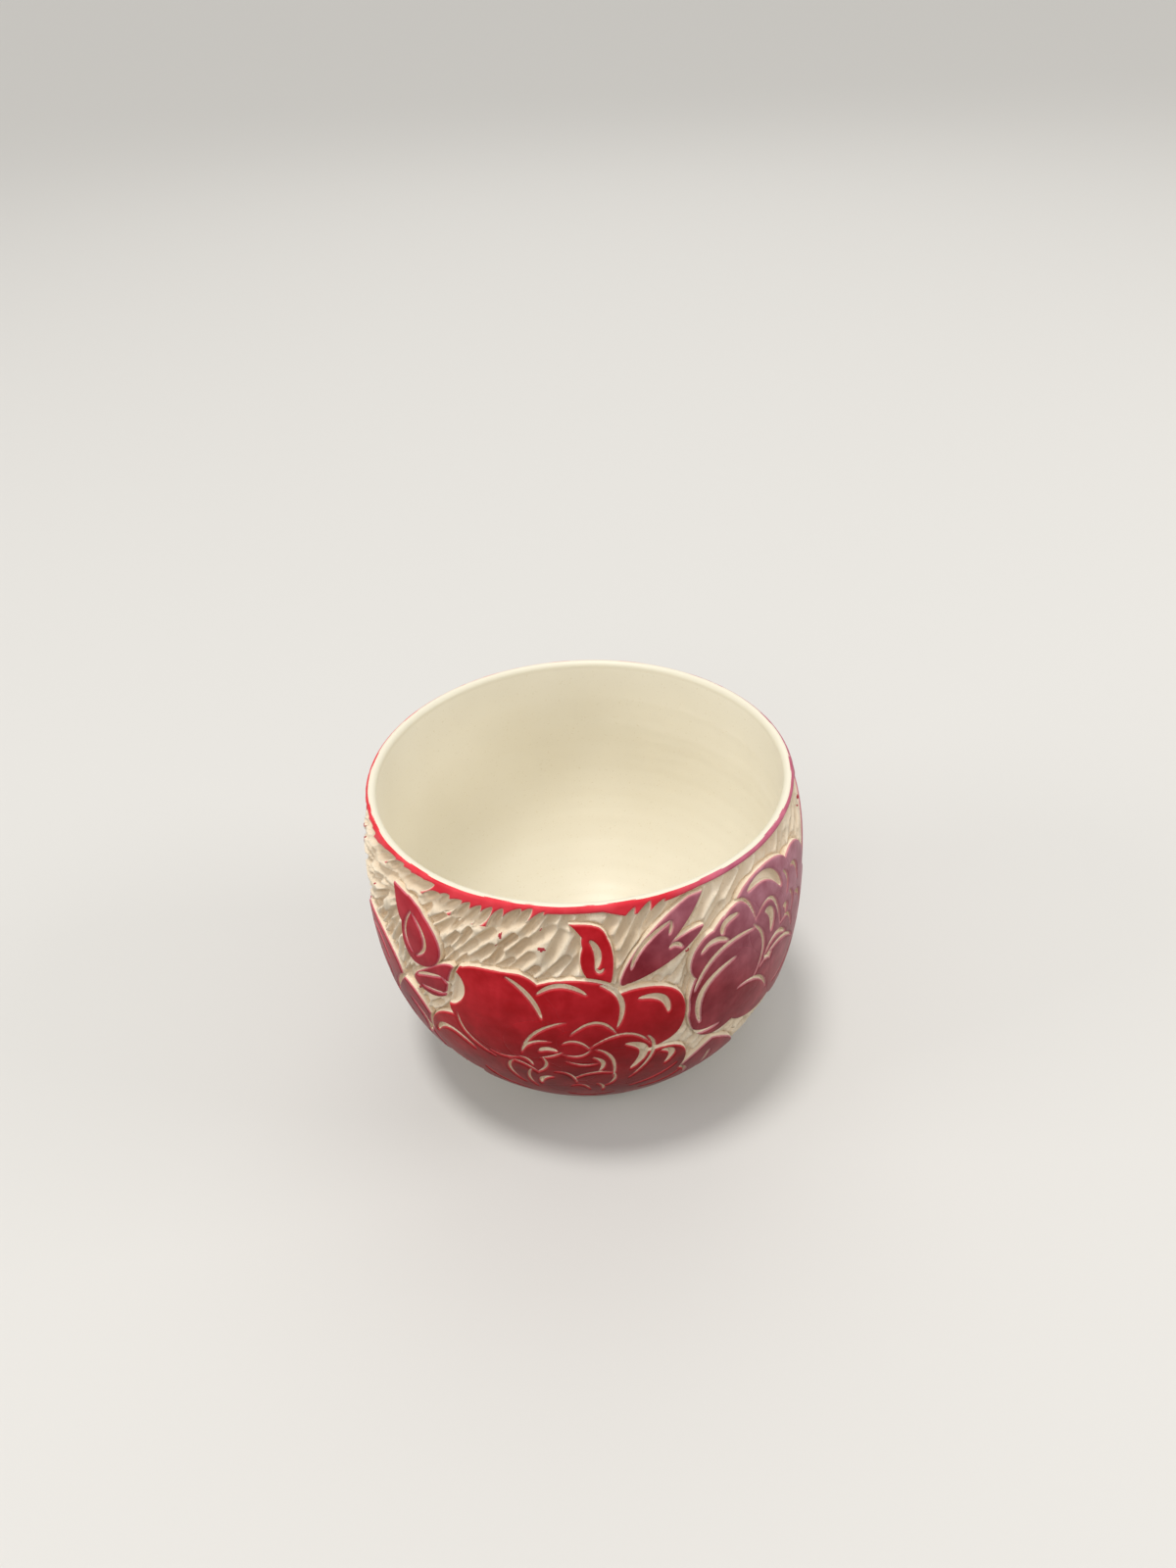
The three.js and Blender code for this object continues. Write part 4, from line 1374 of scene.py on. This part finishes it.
    def finish(self, colour: Socket, normal: Socket, roughness: Socket | float) -> bpy.types.Material:
        """Puts colour, normal and roughness on the shader.

        Args:
            colour: The base colour.
            normal: The bumped normal.
            roughness: A number on the shader's own socket, or a socket.

        Returns:
            The material.
        """
        self.link(colour, self.shader.inputs["Base Color"])
        self.link(normal, self.shader.inputs["Normal"])
        rough = self.shader.inputs["Roughness"]
        if isinstance(roughness, Socket):
            self.link(roughness, rough)
        else:
            rough.default_value = roughness
        return self.material


@dataclass(frozen=True)
class ClayFinish:
    """Bare fired clay: cream, matt, darker in the cuts as painted shade, with fine grog and specks of slip.
    """

    name: str = "bare_clay"
    cream: str = "f5e6ce"
    warm: str = "ebd8bc"
    # The hollow colour is painted shade in the gouge's strokes; the grog flecks are laid in it too.
    hollow_shade: str = "c2a581"
    hollow_share: float = 0.55
    missed_slip: str = "b5323c"
    roughness: float = 0.72

    def colour(self, nodes: Nodes) -> Socket:
        """Cream that drifts softly, a little darker in speckles, and darker down in the gouge's strokes as
        painted shade.

        Args:
            nodes: The material that it is laid out in.

        Returns:
            The colour.
        """
        drift = nodes.ramp(nodes.noise(90), 0.35, 0.68)
        fleck = nodes.ramp(nodes.noise(2600, 2), 0.58, 0.78, 0.5)
        # Painted shade: the deeper the ground lies, the more of the hollow colour.
        low = nodes.between(nodes.attribute("hollow_shade"), 0, 1, 0, self.hollow_share)
        face = nodes.mix(low, nodes.mix(drift, self.cream, self.warm), self.hollow_shade)
        # Grog flecks, the clay's own speckle, in the colour of the painted shade.
        return nodes.mix(fleck, face, self.hollow_shade)

    def grain(self, nodes: Nodes) -> Socket:
        """Fine grain, with the drag lines that the gouge leaves."""
        drag = nodes.bump(nodes.noise(1500, 4, (1, 1, 0.35)), 0.00012, 0.6)
        return nodes.bump(nodes.noise(5200, 3), 0.00005, 0.5, drag)

    def build(self) -> bpy.types.Material:
        """The clay's material, with slip left where the gouge missed the surface.

        Returns:
            The material.
        """
        nodes = Nodes(self.name)
        left = nodes.between(nodes.attribute("slip_left"), 0.45, 0.55)
        colour = nodes.mix(left, self.colour(nodes), self.missed_slip)
        return nodes.finish(colour, self.grain(nodes), self.roughness)


@dataclass(frozen=True)
class Turn:
    """How a slip's colour turns to another: a direction, metres along it, and the other shades.

    Running up the wall it is painted light from above and painted shade below; round to the right it is the
    band's own tone.
    """

    direction: tuple[float, float, float]
    start: float
    end: float
    deep: str
    main: str


@dataclass(frozen=True)
class SlipFinish:
    """Fired slip under a thin clear glaze: satin, mottled where the brush laid it thick and thin.

    Depths are the millimetres below the slip's face of the attribute carve_depth. A little noise is added to
    them, so that the lighter shoulder, thinner slip with a painted highlight, and its line to the clay run
    unevenly.
    """

    name: str
    deep: str
    main: str
    # Shoulder colour: the slip is thinner there, and a highlight of the edge is painted into it too.
    thin: str
    turn: Turn
    roughness: float = 0.34
    clay_roughness: float = 0.7
    shine: float = 0.09
    unevenness: float = 0.12
    # Depths over which the shoulder takes the thin colour: thinner slip and a painted highlight.
    thin_and_lit_edge: Span = (0.09, 0.22)
    clay_line: Span = (0.34, 0.42)

    def build(self) -> bpy.types.Material:
        """The island's material: slip on its face, thin slip with painted highlight on its shoulder, clay on
        its sides.

        Returns:
            The material.
        """
        nodes = Nodes(self.name)
        mottle = nodes.ramp(nodes.noise(230, 5), 0.36, 0.66)
        brush = nodes.ramp(nodes.noise(520, 3, (1, 1, 0.4)), 0.42, 0.75, 0.55)
        # Along the turn the slip takes its other shades: painted light and shade where it runs up the wall.
        tint_and_light_share = nodes.between(nodes.along(self.turn.direction), self.turn.start, self.turn.end)
        deep = nodes.mix(tint_and_light_share, self.deep, self.turn.deep)
        main = nodes.mix(tint_and_light_share, self.main, self.turn.main)
        ragged = nodes.add("ShaderNodeMath", operation="MULTIPLY_ADD")
        nodes.link(nodes.noise(1400, 3), ragged.inputs[0])
        ragged.inputs[1].default_value = self.unevenness
        nodes.link(nodes.attribute("carve_depth"), ragged.inputs[2])
        depth = ragged.outputs[0]
        face = nodes.mix(brush, nodes.mix(mottle, deep, main), deep)
        # Thinner slip round the shoulder, with a painted highlight of the edge.
        thin_and_lit = nodes.mix(nodes.between(depth, *self.thin_and_lit_edge), face, self.thin)
        colour = nodes.mix(nodes.between(depth, *self.clay_line), thin_and_lit, ClayFinish().colour(nodes))
        rough = nodes.between(depth, *self.clay_line, self.roughness, self.clay_roughness)
        ripple = nodes.bump(nodes.noise(420, 3), 0.00022, 0.35)
        nodes.shader.inputs["Specular IOR Level"].default_value = self.shine
        return nodes.finish(colour, nodes.bump(nodes.noise(3000, 3), 0.00004, 0.3, ripple), rough)


@dataclass(frozen=True)
class GlazeFinish:
    """Clear gloss glaze over cream clay, warm where it drifts, and with painted shade over the lip, metres
    up.
    """

    name: str = "clear_glaze"
    cream: str = "efe9d8"
    warm: str = "e9e2cf"
    fleck: str = "cbbb95"
    # Painted shade that tones down the lip, which the lamps from above light most.
    lip: str = "e2dbc6"
    lip_shade_rise: Span = (0.0624, 0.0633)
    roughness: float = 0.5
    coat: float = 0.22
    coat_roughness: float = 0.3

    def build(self) -> bpy.types.Material:
        """The lining's material.

        Returns:
            The material.
        """
        nodes = Nodes(self.name)
        drift = nodes.ramp(nodes.noise(38, 2), 0.3, 0.7)
        flecks = nodes.ramp(nodes.noise(2200, 1), 0.66, 0.8, 0.35)
        colour = nodes.mix(flecks, nodes.mix(drift, self.cream, self.warm), self.fleck)
        # Painted shade over the lip.
        colour = nodes.mix(nodes.between(nodes.along(UP), *self.lip_shade_rise), colour, self.lip)
        nodes.shader.inputs["Coat Weight"].default_value = self.coat
        nodes.shader.inputs["Coat Roughness"].default_value = self.coat_roughness
        return nodes.finish(colour, nodes.bump(nodes.noise(160, 2), 0.0003, 0.15), self.roughness)


SLIPS = {
    Slip.BAND: SlipFinish("rim_red_slip", "da323e", "ea4852", "ee8884",
                          Turn(RIGHT, 0.013, 0.024, "b2566e", "ca7086")),
    # Red: lighter up the wall as painted light from above, darker low down as painted shade.
    Slip.RED: SlipFinish("red_slip", "74060a", "980f16", "d04e52",
                         Turn(UP, 0.024, 0.045, "b6151e", "d22a34")),
    # Rose: lighter up the wall as painted light from above, darker low down as painted shade.
    Slip.ROSE: SlipFinish("rose_slip", "74121f", "901c2a", "d0707a",
                          Turn(UP, 0.03, 0.055, "ac2230", "c43642")),
    # Plum: paler mauve towards the top right, partly its own tone and partly a painted sheen.
    Slip.PLUM: SlipFinish("plum_slip", "82242e", "a63f48", "d49094",
                          Turn(UP_RIGHT, 0.046, 0.064, "a05868", "be8290")),
}


def dress(piece: bpy.types.Object, material: bpy.types.Material, slot: str, *nodes: str) -> None:
    """Gives a piece its material and puts it in the place of its CAD nodes on the one body.

    Args:
        piece: The finished piece.
        material: Its material.
        slot: The record's material slot. It is not used.
        nodes: The CAD nodes that it stands for.
    """
    piece.data.materials.append(material)
    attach(piece, "root")
    if nodes:
        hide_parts(*nodes)
    LOG.info("%s: %d faces", piece.name, len(piece.data.polygons))


@dataclass
class Body:
    """The thrown clay body with its carved ground.

    Sizes are millimetres, and depths are counted from the slip's face. A bank or a fade is the stretch over
    which one depth blends into the next. Cells are fine where an island's field is less than shown.
    """

    carving: Carving
    columns: int = 220
    rows: int = 57
    step: int = 4
    crowding: float = 0.33
    lowest: float = 0.4
    kept_faces: float = 0.57
    shown: float = 0.35
    skin: float = 0.45
    gouge_factor: float = 1.2
    missed_skin: float = 0.35
    missed_under: float = 0.5
    missed_beyond: float = 0.8
    groove_floor: float = 1.2
    groove_bank: Span = (0.25, 0.85)
    outline_dip: float = 0.2
    dip_place: float = 0.35
    dip_width: float = 0.25
    cut_floor: float = 0.55
    cut_factor: float = 1.1
    cut_bank: Span = (-0.25, 0.05)
    lip_fade: float = 0.6
    lip_loss: float = 0.6
    # Depths of the ground over which the painted shade in its hollows comes in.
    hollow_depths: Span = (0.5, 1.9)
    lip_inset: float = 0.12
    bowl_inset: float = 0.25

    def ground(self, x: Array, y: Array) -> tuple[Array, Array, Array]:
        """Depth of the clay's surface, where slip is left on it, and how far it is inside an island.

        Away from the islands the depth is the skin plus the gouging times its factor. Beside an island it
        blends to the groove's floor, which dips as a bell curve where the outline was cut first. In a cut the
        depth grows with the cut's width. At the foot it fades to nothing, and under the lip it is less.

        Args:
            x: Grid of places round the belly.
            y: Grid of places up the wall.

        Returns:
            Depths in millimetres, a mask that is 1 where slip is left, and the slip's field.
        """
        slip, carved = self.carving.slip(x, y)
        away = -slip
        gouged = self.carving.gouging.depths(x, y)
        ramp = smoothstep(FORM.bare_foot, FORM.bare_foot + FORM.ground_ramp, y)
        top = smoothstep(WALL.length - self.lip_fade, WALL.length, y)
        missed = self.carving.gouging.missed(x, y)
        left = missed & (gouged < self.missed_under) & (away > self.missed_beyond)
        open_ground = np.where(left, self.missed_skin, self.skin + self.gouge_factor * gouged)
        dip = np.exp(-(((away - self.dip_place) / self.dip_width) ** 2))
        floor = self.groove_floor + self.outline_dip * dip
        depth = floor + (open_ground - floor) * smoothstep(*self.groove_bank, away)
        shallow = np.minimum(self.cut_floor + self.cut_factor * np.clip(carved, 0, None), self.groove_floor)
        depth = depth + (shallow - depth) * smoothstep(*self.cut_bank, carved)
        return depth * ramp * (1 - self.lip_loss * top), left.astype(float), slip

    def foot(self) -> tuple[Array, Array]:
        """The underside: flat within the foot ring, which has rounded edges.

        Returns:
            Radii and heights in millimetres, from the axis outwards.
        """
        inside, outside, recess = FORM.foot_radius - FORM.foot_ring_width, FORM.foot_radius, FORM.foot_recess
        recessed = [(0.0, recess), (8, recess), (15, recess), (inside - 1.6, recess)]
        step = [(inside - 0.9, recess - 0.2), (inside - 0.5, 0.5), (inside, 0.1)]
        ring = [(inside + 1, 0), (outside - 1.0, 0), (outside - 0.35, 0.06)]
        radii, heights = np.array(recessed + step + ring).T
        return radii, heights

    def inside(self) -> tuple[Array, Array]:
        """The clay under the lining: an arc over the lip, then the bowl down to the axis.

        Returns:
            Radii and heights in millimetres, from the lip inwards.
        """
        lip = np.linspace(LEAN + 0.3, math.pi, 7)
        lip_r = LIP_CENTRE[0] + (LIP_RADIUS - self.lip_inset) * np.cos(lip)
        lip_z = LIP_CENTRE[1] + (LIP_RADIUS - self.lip_inset) * np.sin(lip)
        bowl_r, bowl_z = BOWL.at(np.linspace(BOWL.length - 0.5, 0, 24), self.bowl_inset)
        bowl_r[-1] = 0.0
        return np.concatenate([lip_r, bowl_r]), np.concatenate([lip_z, bowl_z])

    def build(self) -> bpy.types.Object:
        """Makes the body as one closed form. Its wall is sunk by the ground's depth and fine where it shows.

        Columns crowd towards the front: the angle is the even angle less the crowding times its sine. A
        modifier then thins the faces where the surface hardly bends.

        Returns:
            The new object, with the mask of slip left over as the attribute slip_left and the depth of the
            ground, from 0 to 1, as the attribute that paints shade in the hollows.
        """
        even = np.linspace(-math.pi, math.pi, self.columns * self.step, endpoint=False)
        angle = even - self.crowding * np.sin(even)
        along = np.linspace(self.lowest, WALL.length, self.rows * self.step + 1)
        grid_x, grid_y = np.meshgrid(angle * FORM.belly_radius, along)
        depth, left, slip = self.ground(grid_x, grid_y)
        wall = wrap(grid_x, grid_y, depth).reshape(-1, 3)
        beside = np.roll(slip, -1, axis=1)
        least = np.minimum(np.minimum(slip[:-1], slip[1:]), np.minimum(beside[:-1], beside[1:]))
        showing = least < self.shown
        fine = showing.reshape(self.rows, self.step, self.columns, self.step).any(axis=(1, 3))
        fine[[0, -1]] = False
        fine[:int(FORM.bare_foot / WALL.length * self.rows)] = False
        coarse = angle[::self.step]
        below, above = ring_points(*self.foot(), coarse), ring_points(*self.inside(), coarse)
        total = len(wall)
        low_index = total + np.arange(below[..., 0].size).reshape(below.shape[:2])
        high_index = total + low_index.size + np.arange(above[..., 0].size).reshape(above.shape[:2])
        low_index[0] = low_index[0, 0]
        high_index[-1] = high_index[-1, 0]
        wall_index = np.arange(total).reshape(grid_x.shape)[:, ::self.step]
        faces = np.concatenate([
            ring_faces(np.vstack([low_index, wall_index[:1]])), graded_faces(fine, self.step),
            ring_faces(np.vstack([wall_index[-1:], high_index]))])
        points = np.concatenate([wall, below.reshape(-1, 3), above.reshape(-1, 3)])
        slip_left, hollow_shade = np.zeros(len(points)), np.zeros(len(points))
        slip_left[:total] = left.ravel()
        # Painted shade in the hollows: the deeper the ground, the darker the clay.
        hollow_shade[:total] = smoothstep(*self.hollow_depths, depth).ravel()
        body = compact("thrown_body", points, faces, {"slip_left": slip_left, "hollow_shade": hollow_shade})
        body.modifiers.new("thinner_faces", "DECIMATE").ratio = self.kept_faces
        return body


@dataclass
class Lining:
    """The clear glaze inside, rolled over the lip. Sizes are millimetres."""

    columns: int = 288
    rows: int = 96
    ring_height: float = 0.024
    ring_pitch: float = 3.4
    wide_ring_share: float = 0.8
    wide_ring_pitches: float = 2.3
    fade_in: Span = (4.0, 16.0)
    fade_out: Span = (9.0, 2.0)
    lip_steps: int = 14
    lip_edge: float = 0.02
    thickness: float = 0.3

    def build(self) -> bpy.types.Object:
        """Makes the lining: faint throwing rings up the bowl, a round lip, and a back behind them.

        The rings are two sines of the length along the bowl, fading in from the floor and out below the lip.

        Returns:
            The new object.
        """
        along = np.linspace(0, BOWL.length, self.rows)
        start, end = BOWL.length - self.fade_out[0], BOWL.length - self.fade_out[1]
        fade = smoothstep(*self.fade_in, along) * (1 - smoothstep(start, end, along))
        rings = np.sin(2 * np.pi * along / self.ring_pitch)
        wide_pitch = self.wide_ring_pitches * self.ring_pitch
        rings = rings + self.wide_ring_share * np.sin(2 * np.pi * along / wide_pitch)
        face_r, face_z = BOWL.at(along, -rings * (self.ring_height * fade))
        face_r[0] = 0.0
        lip = np.linspace(math.pi, LEAN + 0.5, self.lip_steps)
        edge = 1 - np.sin(np.linspace(0, math.pi, self.lip_steps)) ** 0.5
        reach = LIP_RADIUS - self.lip_edge * edge
        behind_reach = LIP_RADIUS - self.thickness
        behind_r, behind_z = BOWL.at(np.linspace(BOWL.length, 0, 40), self.thickness)
        behind_r[-1] = 0.0
        radius = np.concatenate([face_r, (LIP_CENTRE[0] + reach * np.cos(lip))[1:],
                                 LIP_CENTRE[0] + behind_reach * np.cos(lip[::-1]), behind_r[1:]])
        height = np.concatenate([face_z, (LIP_CENTRE[1] + reach * np.sin(lip))[1:],
                                 LIP_CENTRE[1] + behind_reach * np.sin(lip[::-1]), behind_z[1:]])
        return turned("glaze_lining_skin", radius[::-1], height[::-1], self.columns)


@dataclass
class SlipIslands:
    """The islands of slip that carving left, and the band under the lip. Sizes are millimetres.

    The waver is what the band's top edge runs up and down by: size, length over a turn's radian, and shift.
    """

    carving: Carving
    pitch: float = 0.22
    thickness: float = 1.9
    band_thickness: float = 0.62
    under_lip: float = 1.2
    over_lip: float = 1.1
    waver: tuple[tuple[float, float, float], ...] = ((0.1, 3.1, 0.0), (0.06, 1.3, 2.0), (0.02, 0.57, 0.0))

    def island(self, number: int) -> bpy.types.Object:
        """Makes one island on a fine grid over its own box.

        Args:
            number: The motif's number in the carving.

        Returns:
            The new object.
        """
        motif = self.carving.motifs[number]
        margin = 3 * self.pitch + SHOULDER.foot
        x = np.arange(motif.low[0] - margin, motif.high[0] + margin, self.pitch)
        y = np.arange(max(motif.low[1] - margin, FORM.bare_foot), motif.high[1] + margin, self.pitch)
        grid_x, grid_y = np.meshgrid(x, y)
        value = self.carving.island(number, grid_x.ravel(), grid_y.ravel()).reshape(grid_x.shape)
        value = np.minimum(value, WALL.length - self.under_lip - grid_y)
        return island_mesh(f"{motif.name}_slip", grid_x, grid_y, value + SHOULDER.foot, False, self.thickness)

    def band(self) -> bpy.types.Object:
        """Makes the rim band on a fine grid that closes round the cup.

        Returns:
            The new object.
        """
        columns = int(AROUND / self.pitch)
        x = np.linspace(-AROUND / 2, AROUND / 2, columns, endpoint=False)
        y = np.arange(BAND_FOOT - 1, WALL.length + self.over_lip + 1, self.pitch)
        grid_x, grid_y = np.meshgrid(x, y)
        value = self.carving.band(grid_x.ravel(), grid_y.ravel()).reshape(grid_x.shape)
        waver = sum(size * np.sin(grid_x / length + shift) for size, length, shift in self.waver)
        value = np.minimum(value, WALL.length + self.over_lip + waver - grid_y) + SHOULDER.foot
        return island_mesh("rim_slip_band_slip", grid_x, grid_y, value, True, self.band_thickness)


def paint_floor() -> None:
    """A plain floor under the cup, which keeps the cup's shadow. It is pale where it is seen or mirrored, and
    dark to the light it bounces, as painted shade on the cup's lower belly.
    """
    size = 20.0
    corners = np.array([[-size, -size, 0], [size, -size, 0], [size, size, 0], [-size, size, 0]])
    floor = make_object("floor", corners, np.array([[0, 1, 2, 3]]))
    nodes = Nodes("floor_dark_to_bounce")
    rays = nodes.add("ShaderNodeLightPath").outputs
    seen = rays["Is Camera Ray"]
    for other in (rays["Is Glossy Ray"], rays["Is Transmission Ray"]):
        either = nodes.add("ShaderNodeMath", operation="MAXIMUM")
        nodes.link(seen, either.inputs[0])
        nodes.link(other, either.inputs[1])
        seen = either.outputs[0]
    # Dark to bounced light, as painted shade under the cup; pale to the camera, in reflections and through
    # glass.
    nodes.link(nodes.mix(seen, "605e5b", "cfcdc9"), nodes.shader.inputs["Base Color"])
    nodes.shader.inputs["Roughness"].default_value = 0.7
    floor.data.materials.append(nodes.material)


@dataclass(frozen=True)
class Lamp:
    """One soft lamp that looks at the cup. A sun has an angle in degrees, an area lamp a side in metres."""

    name: str
    kind: str
    place: tuple[float, float, float]
    softness: float
    energy: float
    colour: tuple[float, float, float] = (1.0, 1.0, 1.0)
    aim_height: float = 0.04

    def build(self) -> None:
        """Makes the lamp and turns it to the cup's middle."""
        lamp = bpy.data.lights.new(self.name, self.kind)
        if self.kind == "SUN":
            lamp.angle = math.radians(self.softness)
        else:
            lamp.size = self.softness
        lamp.energy = self.energy
        lamp.color = self.colour
        thing = bpy.data.objects.new(self.name, lamp)
        thing.location = self.place
        aim = Vector((0, 0, self.aim_height)) - Vector(self.place)
        thing.rotation_euler = aim.to_track_quat("-Z", "Y").to_euler()
        bpy.context.scene.collection.objects.link(thing)


LAMPS = (
    Lamp("key", "SUN", (-0.16, -0.06, 1.2), 12.0, 1.45, (1.0, 0.985, 0.965)),
    Lamp("back_window", "AREA", (0.1, 0.8, 0.9), 0.9, 2.2),
    Lamp("front_window", "AREA", (-0.2, -0.95, 0.85), 0.6, 3.2),
    Lamp("left_window", "AREA", (-0.85, -0.2, 0.42), 0.4, 2.0),
    Lamp("right_window", "AREA", (0.85, -0.1, 0.45), 0.4, 2.4),
)


def light_world() -> None:
    """An even pale world that fills the shadows."""
    world = bpy.data.worlds.new("studio")
    bpy.context.scene.world = world
    world.use_nodes = True
    tree = world.node_tree
    tree.nodes.clear()
    output = tree.nodes.new("ShaderNodeOutputWorld")
    background = tree.nodes.new("ShaderNodeBackground")
    background.inputs["Color"].default_value = srgb("f2f1ee")
    background.inputs["Strength"].default_value = 0.52
    tree.links.new(background.outputs[0], output.inputs[0])


@dataclass(frozen=True)
class PhotographView:
    """The photograph's view, fitted on the cup's rim and sides.

    Lengths are millimetres, angles degrees, and pixels those of the 1200 by 1600 frame.
    """

    focal_pixels: float = 1202.0
    distance: float = 221.6
    pitch: float = 35.96
    roll: float = 3.09
    off_x: float = -8.3
    off_y: float = -19.7
    frame_height: float = 1600.0
    sensor_height: float = 36.0

    def build(self) -> None:
        """Places the camera from the rim's middle.

        The rim's middle lies off the frame's middle by the two pixel offsets, at the distance along the view.
        """
        lens = bpy.data.cameras.new("photograph_view")
        lens.sensor_fit = "VERTICAL"
        lens.sensor_height = self.sensor_height
        lens.lens = self.sensor_height * self.focal_pixels / self.frame_height
        lens.clip_start = 0.01
        lens.clip_end = 20.0
        cosine, sine = math.cos(math.radians(self.pitch)), math.sin(math.radians(self.pitch))
        forward, up, right = Vector((0, cosine, -sine)), Vector((0, sine, cosine)), Vector((1, 0, 0))
        per_pixel = self.distance / self.focal_pixels
        rim = Vector((0, 0, FORM.height))
        place = rim - self.off_x * per_pixel * right + self.off_y * per_pixel * up - self.distance * forward
        turn = math.radians(self.roll)
        across = right * math.cos(turn) - up * math.sin(turn)
        above = right * math.sin(turn) + up * math.cos(turn)
        camera = bpy.data.objects.new("photograph_view", lens)
        facing = Matrix((across, above, -forward)).transposed().to_4x4()
        camera.matrix_world = Matrix.Translation(place * MM) @ facing
        bpy.context.scene.collection.objects.link(camera)
        bpy.context.scene.camera = camera


def main() -> None:
    """Builds the cup piece by piece and reports each one."""
    logging.basicConfig(level=logging.INFO, format="%(message)s")
    PhotographView().build()
    paint_floor()
    light_world()
    for lamp in LAMPS:
        lamp.build()
    carving = Carving(pattern(), Gouging())
    dress(Body(carving).build(), ClayFinish().build(), "clay", "clay_body")
    dress(Lining().build(), GlazeFinish().build(), "glaze", "glaze_lining")
    materials = {slip: finish.build() for slip, finish in SLIPS.items()}
    islands = SlipIslands(carving)
    for number, motif in enumerate(carving.motifs):
        dress(islands.island(number), materials[motif.slip], motif.slip.value, motif.name)
    dress(islands.band(), materials[Slip.BAND], Slip.BAND.value, "rim_slip_band")
    bpy.context.scene.view_settings.view_transform = "Standard"
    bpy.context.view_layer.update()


if __name__ == "__main__":
    main()
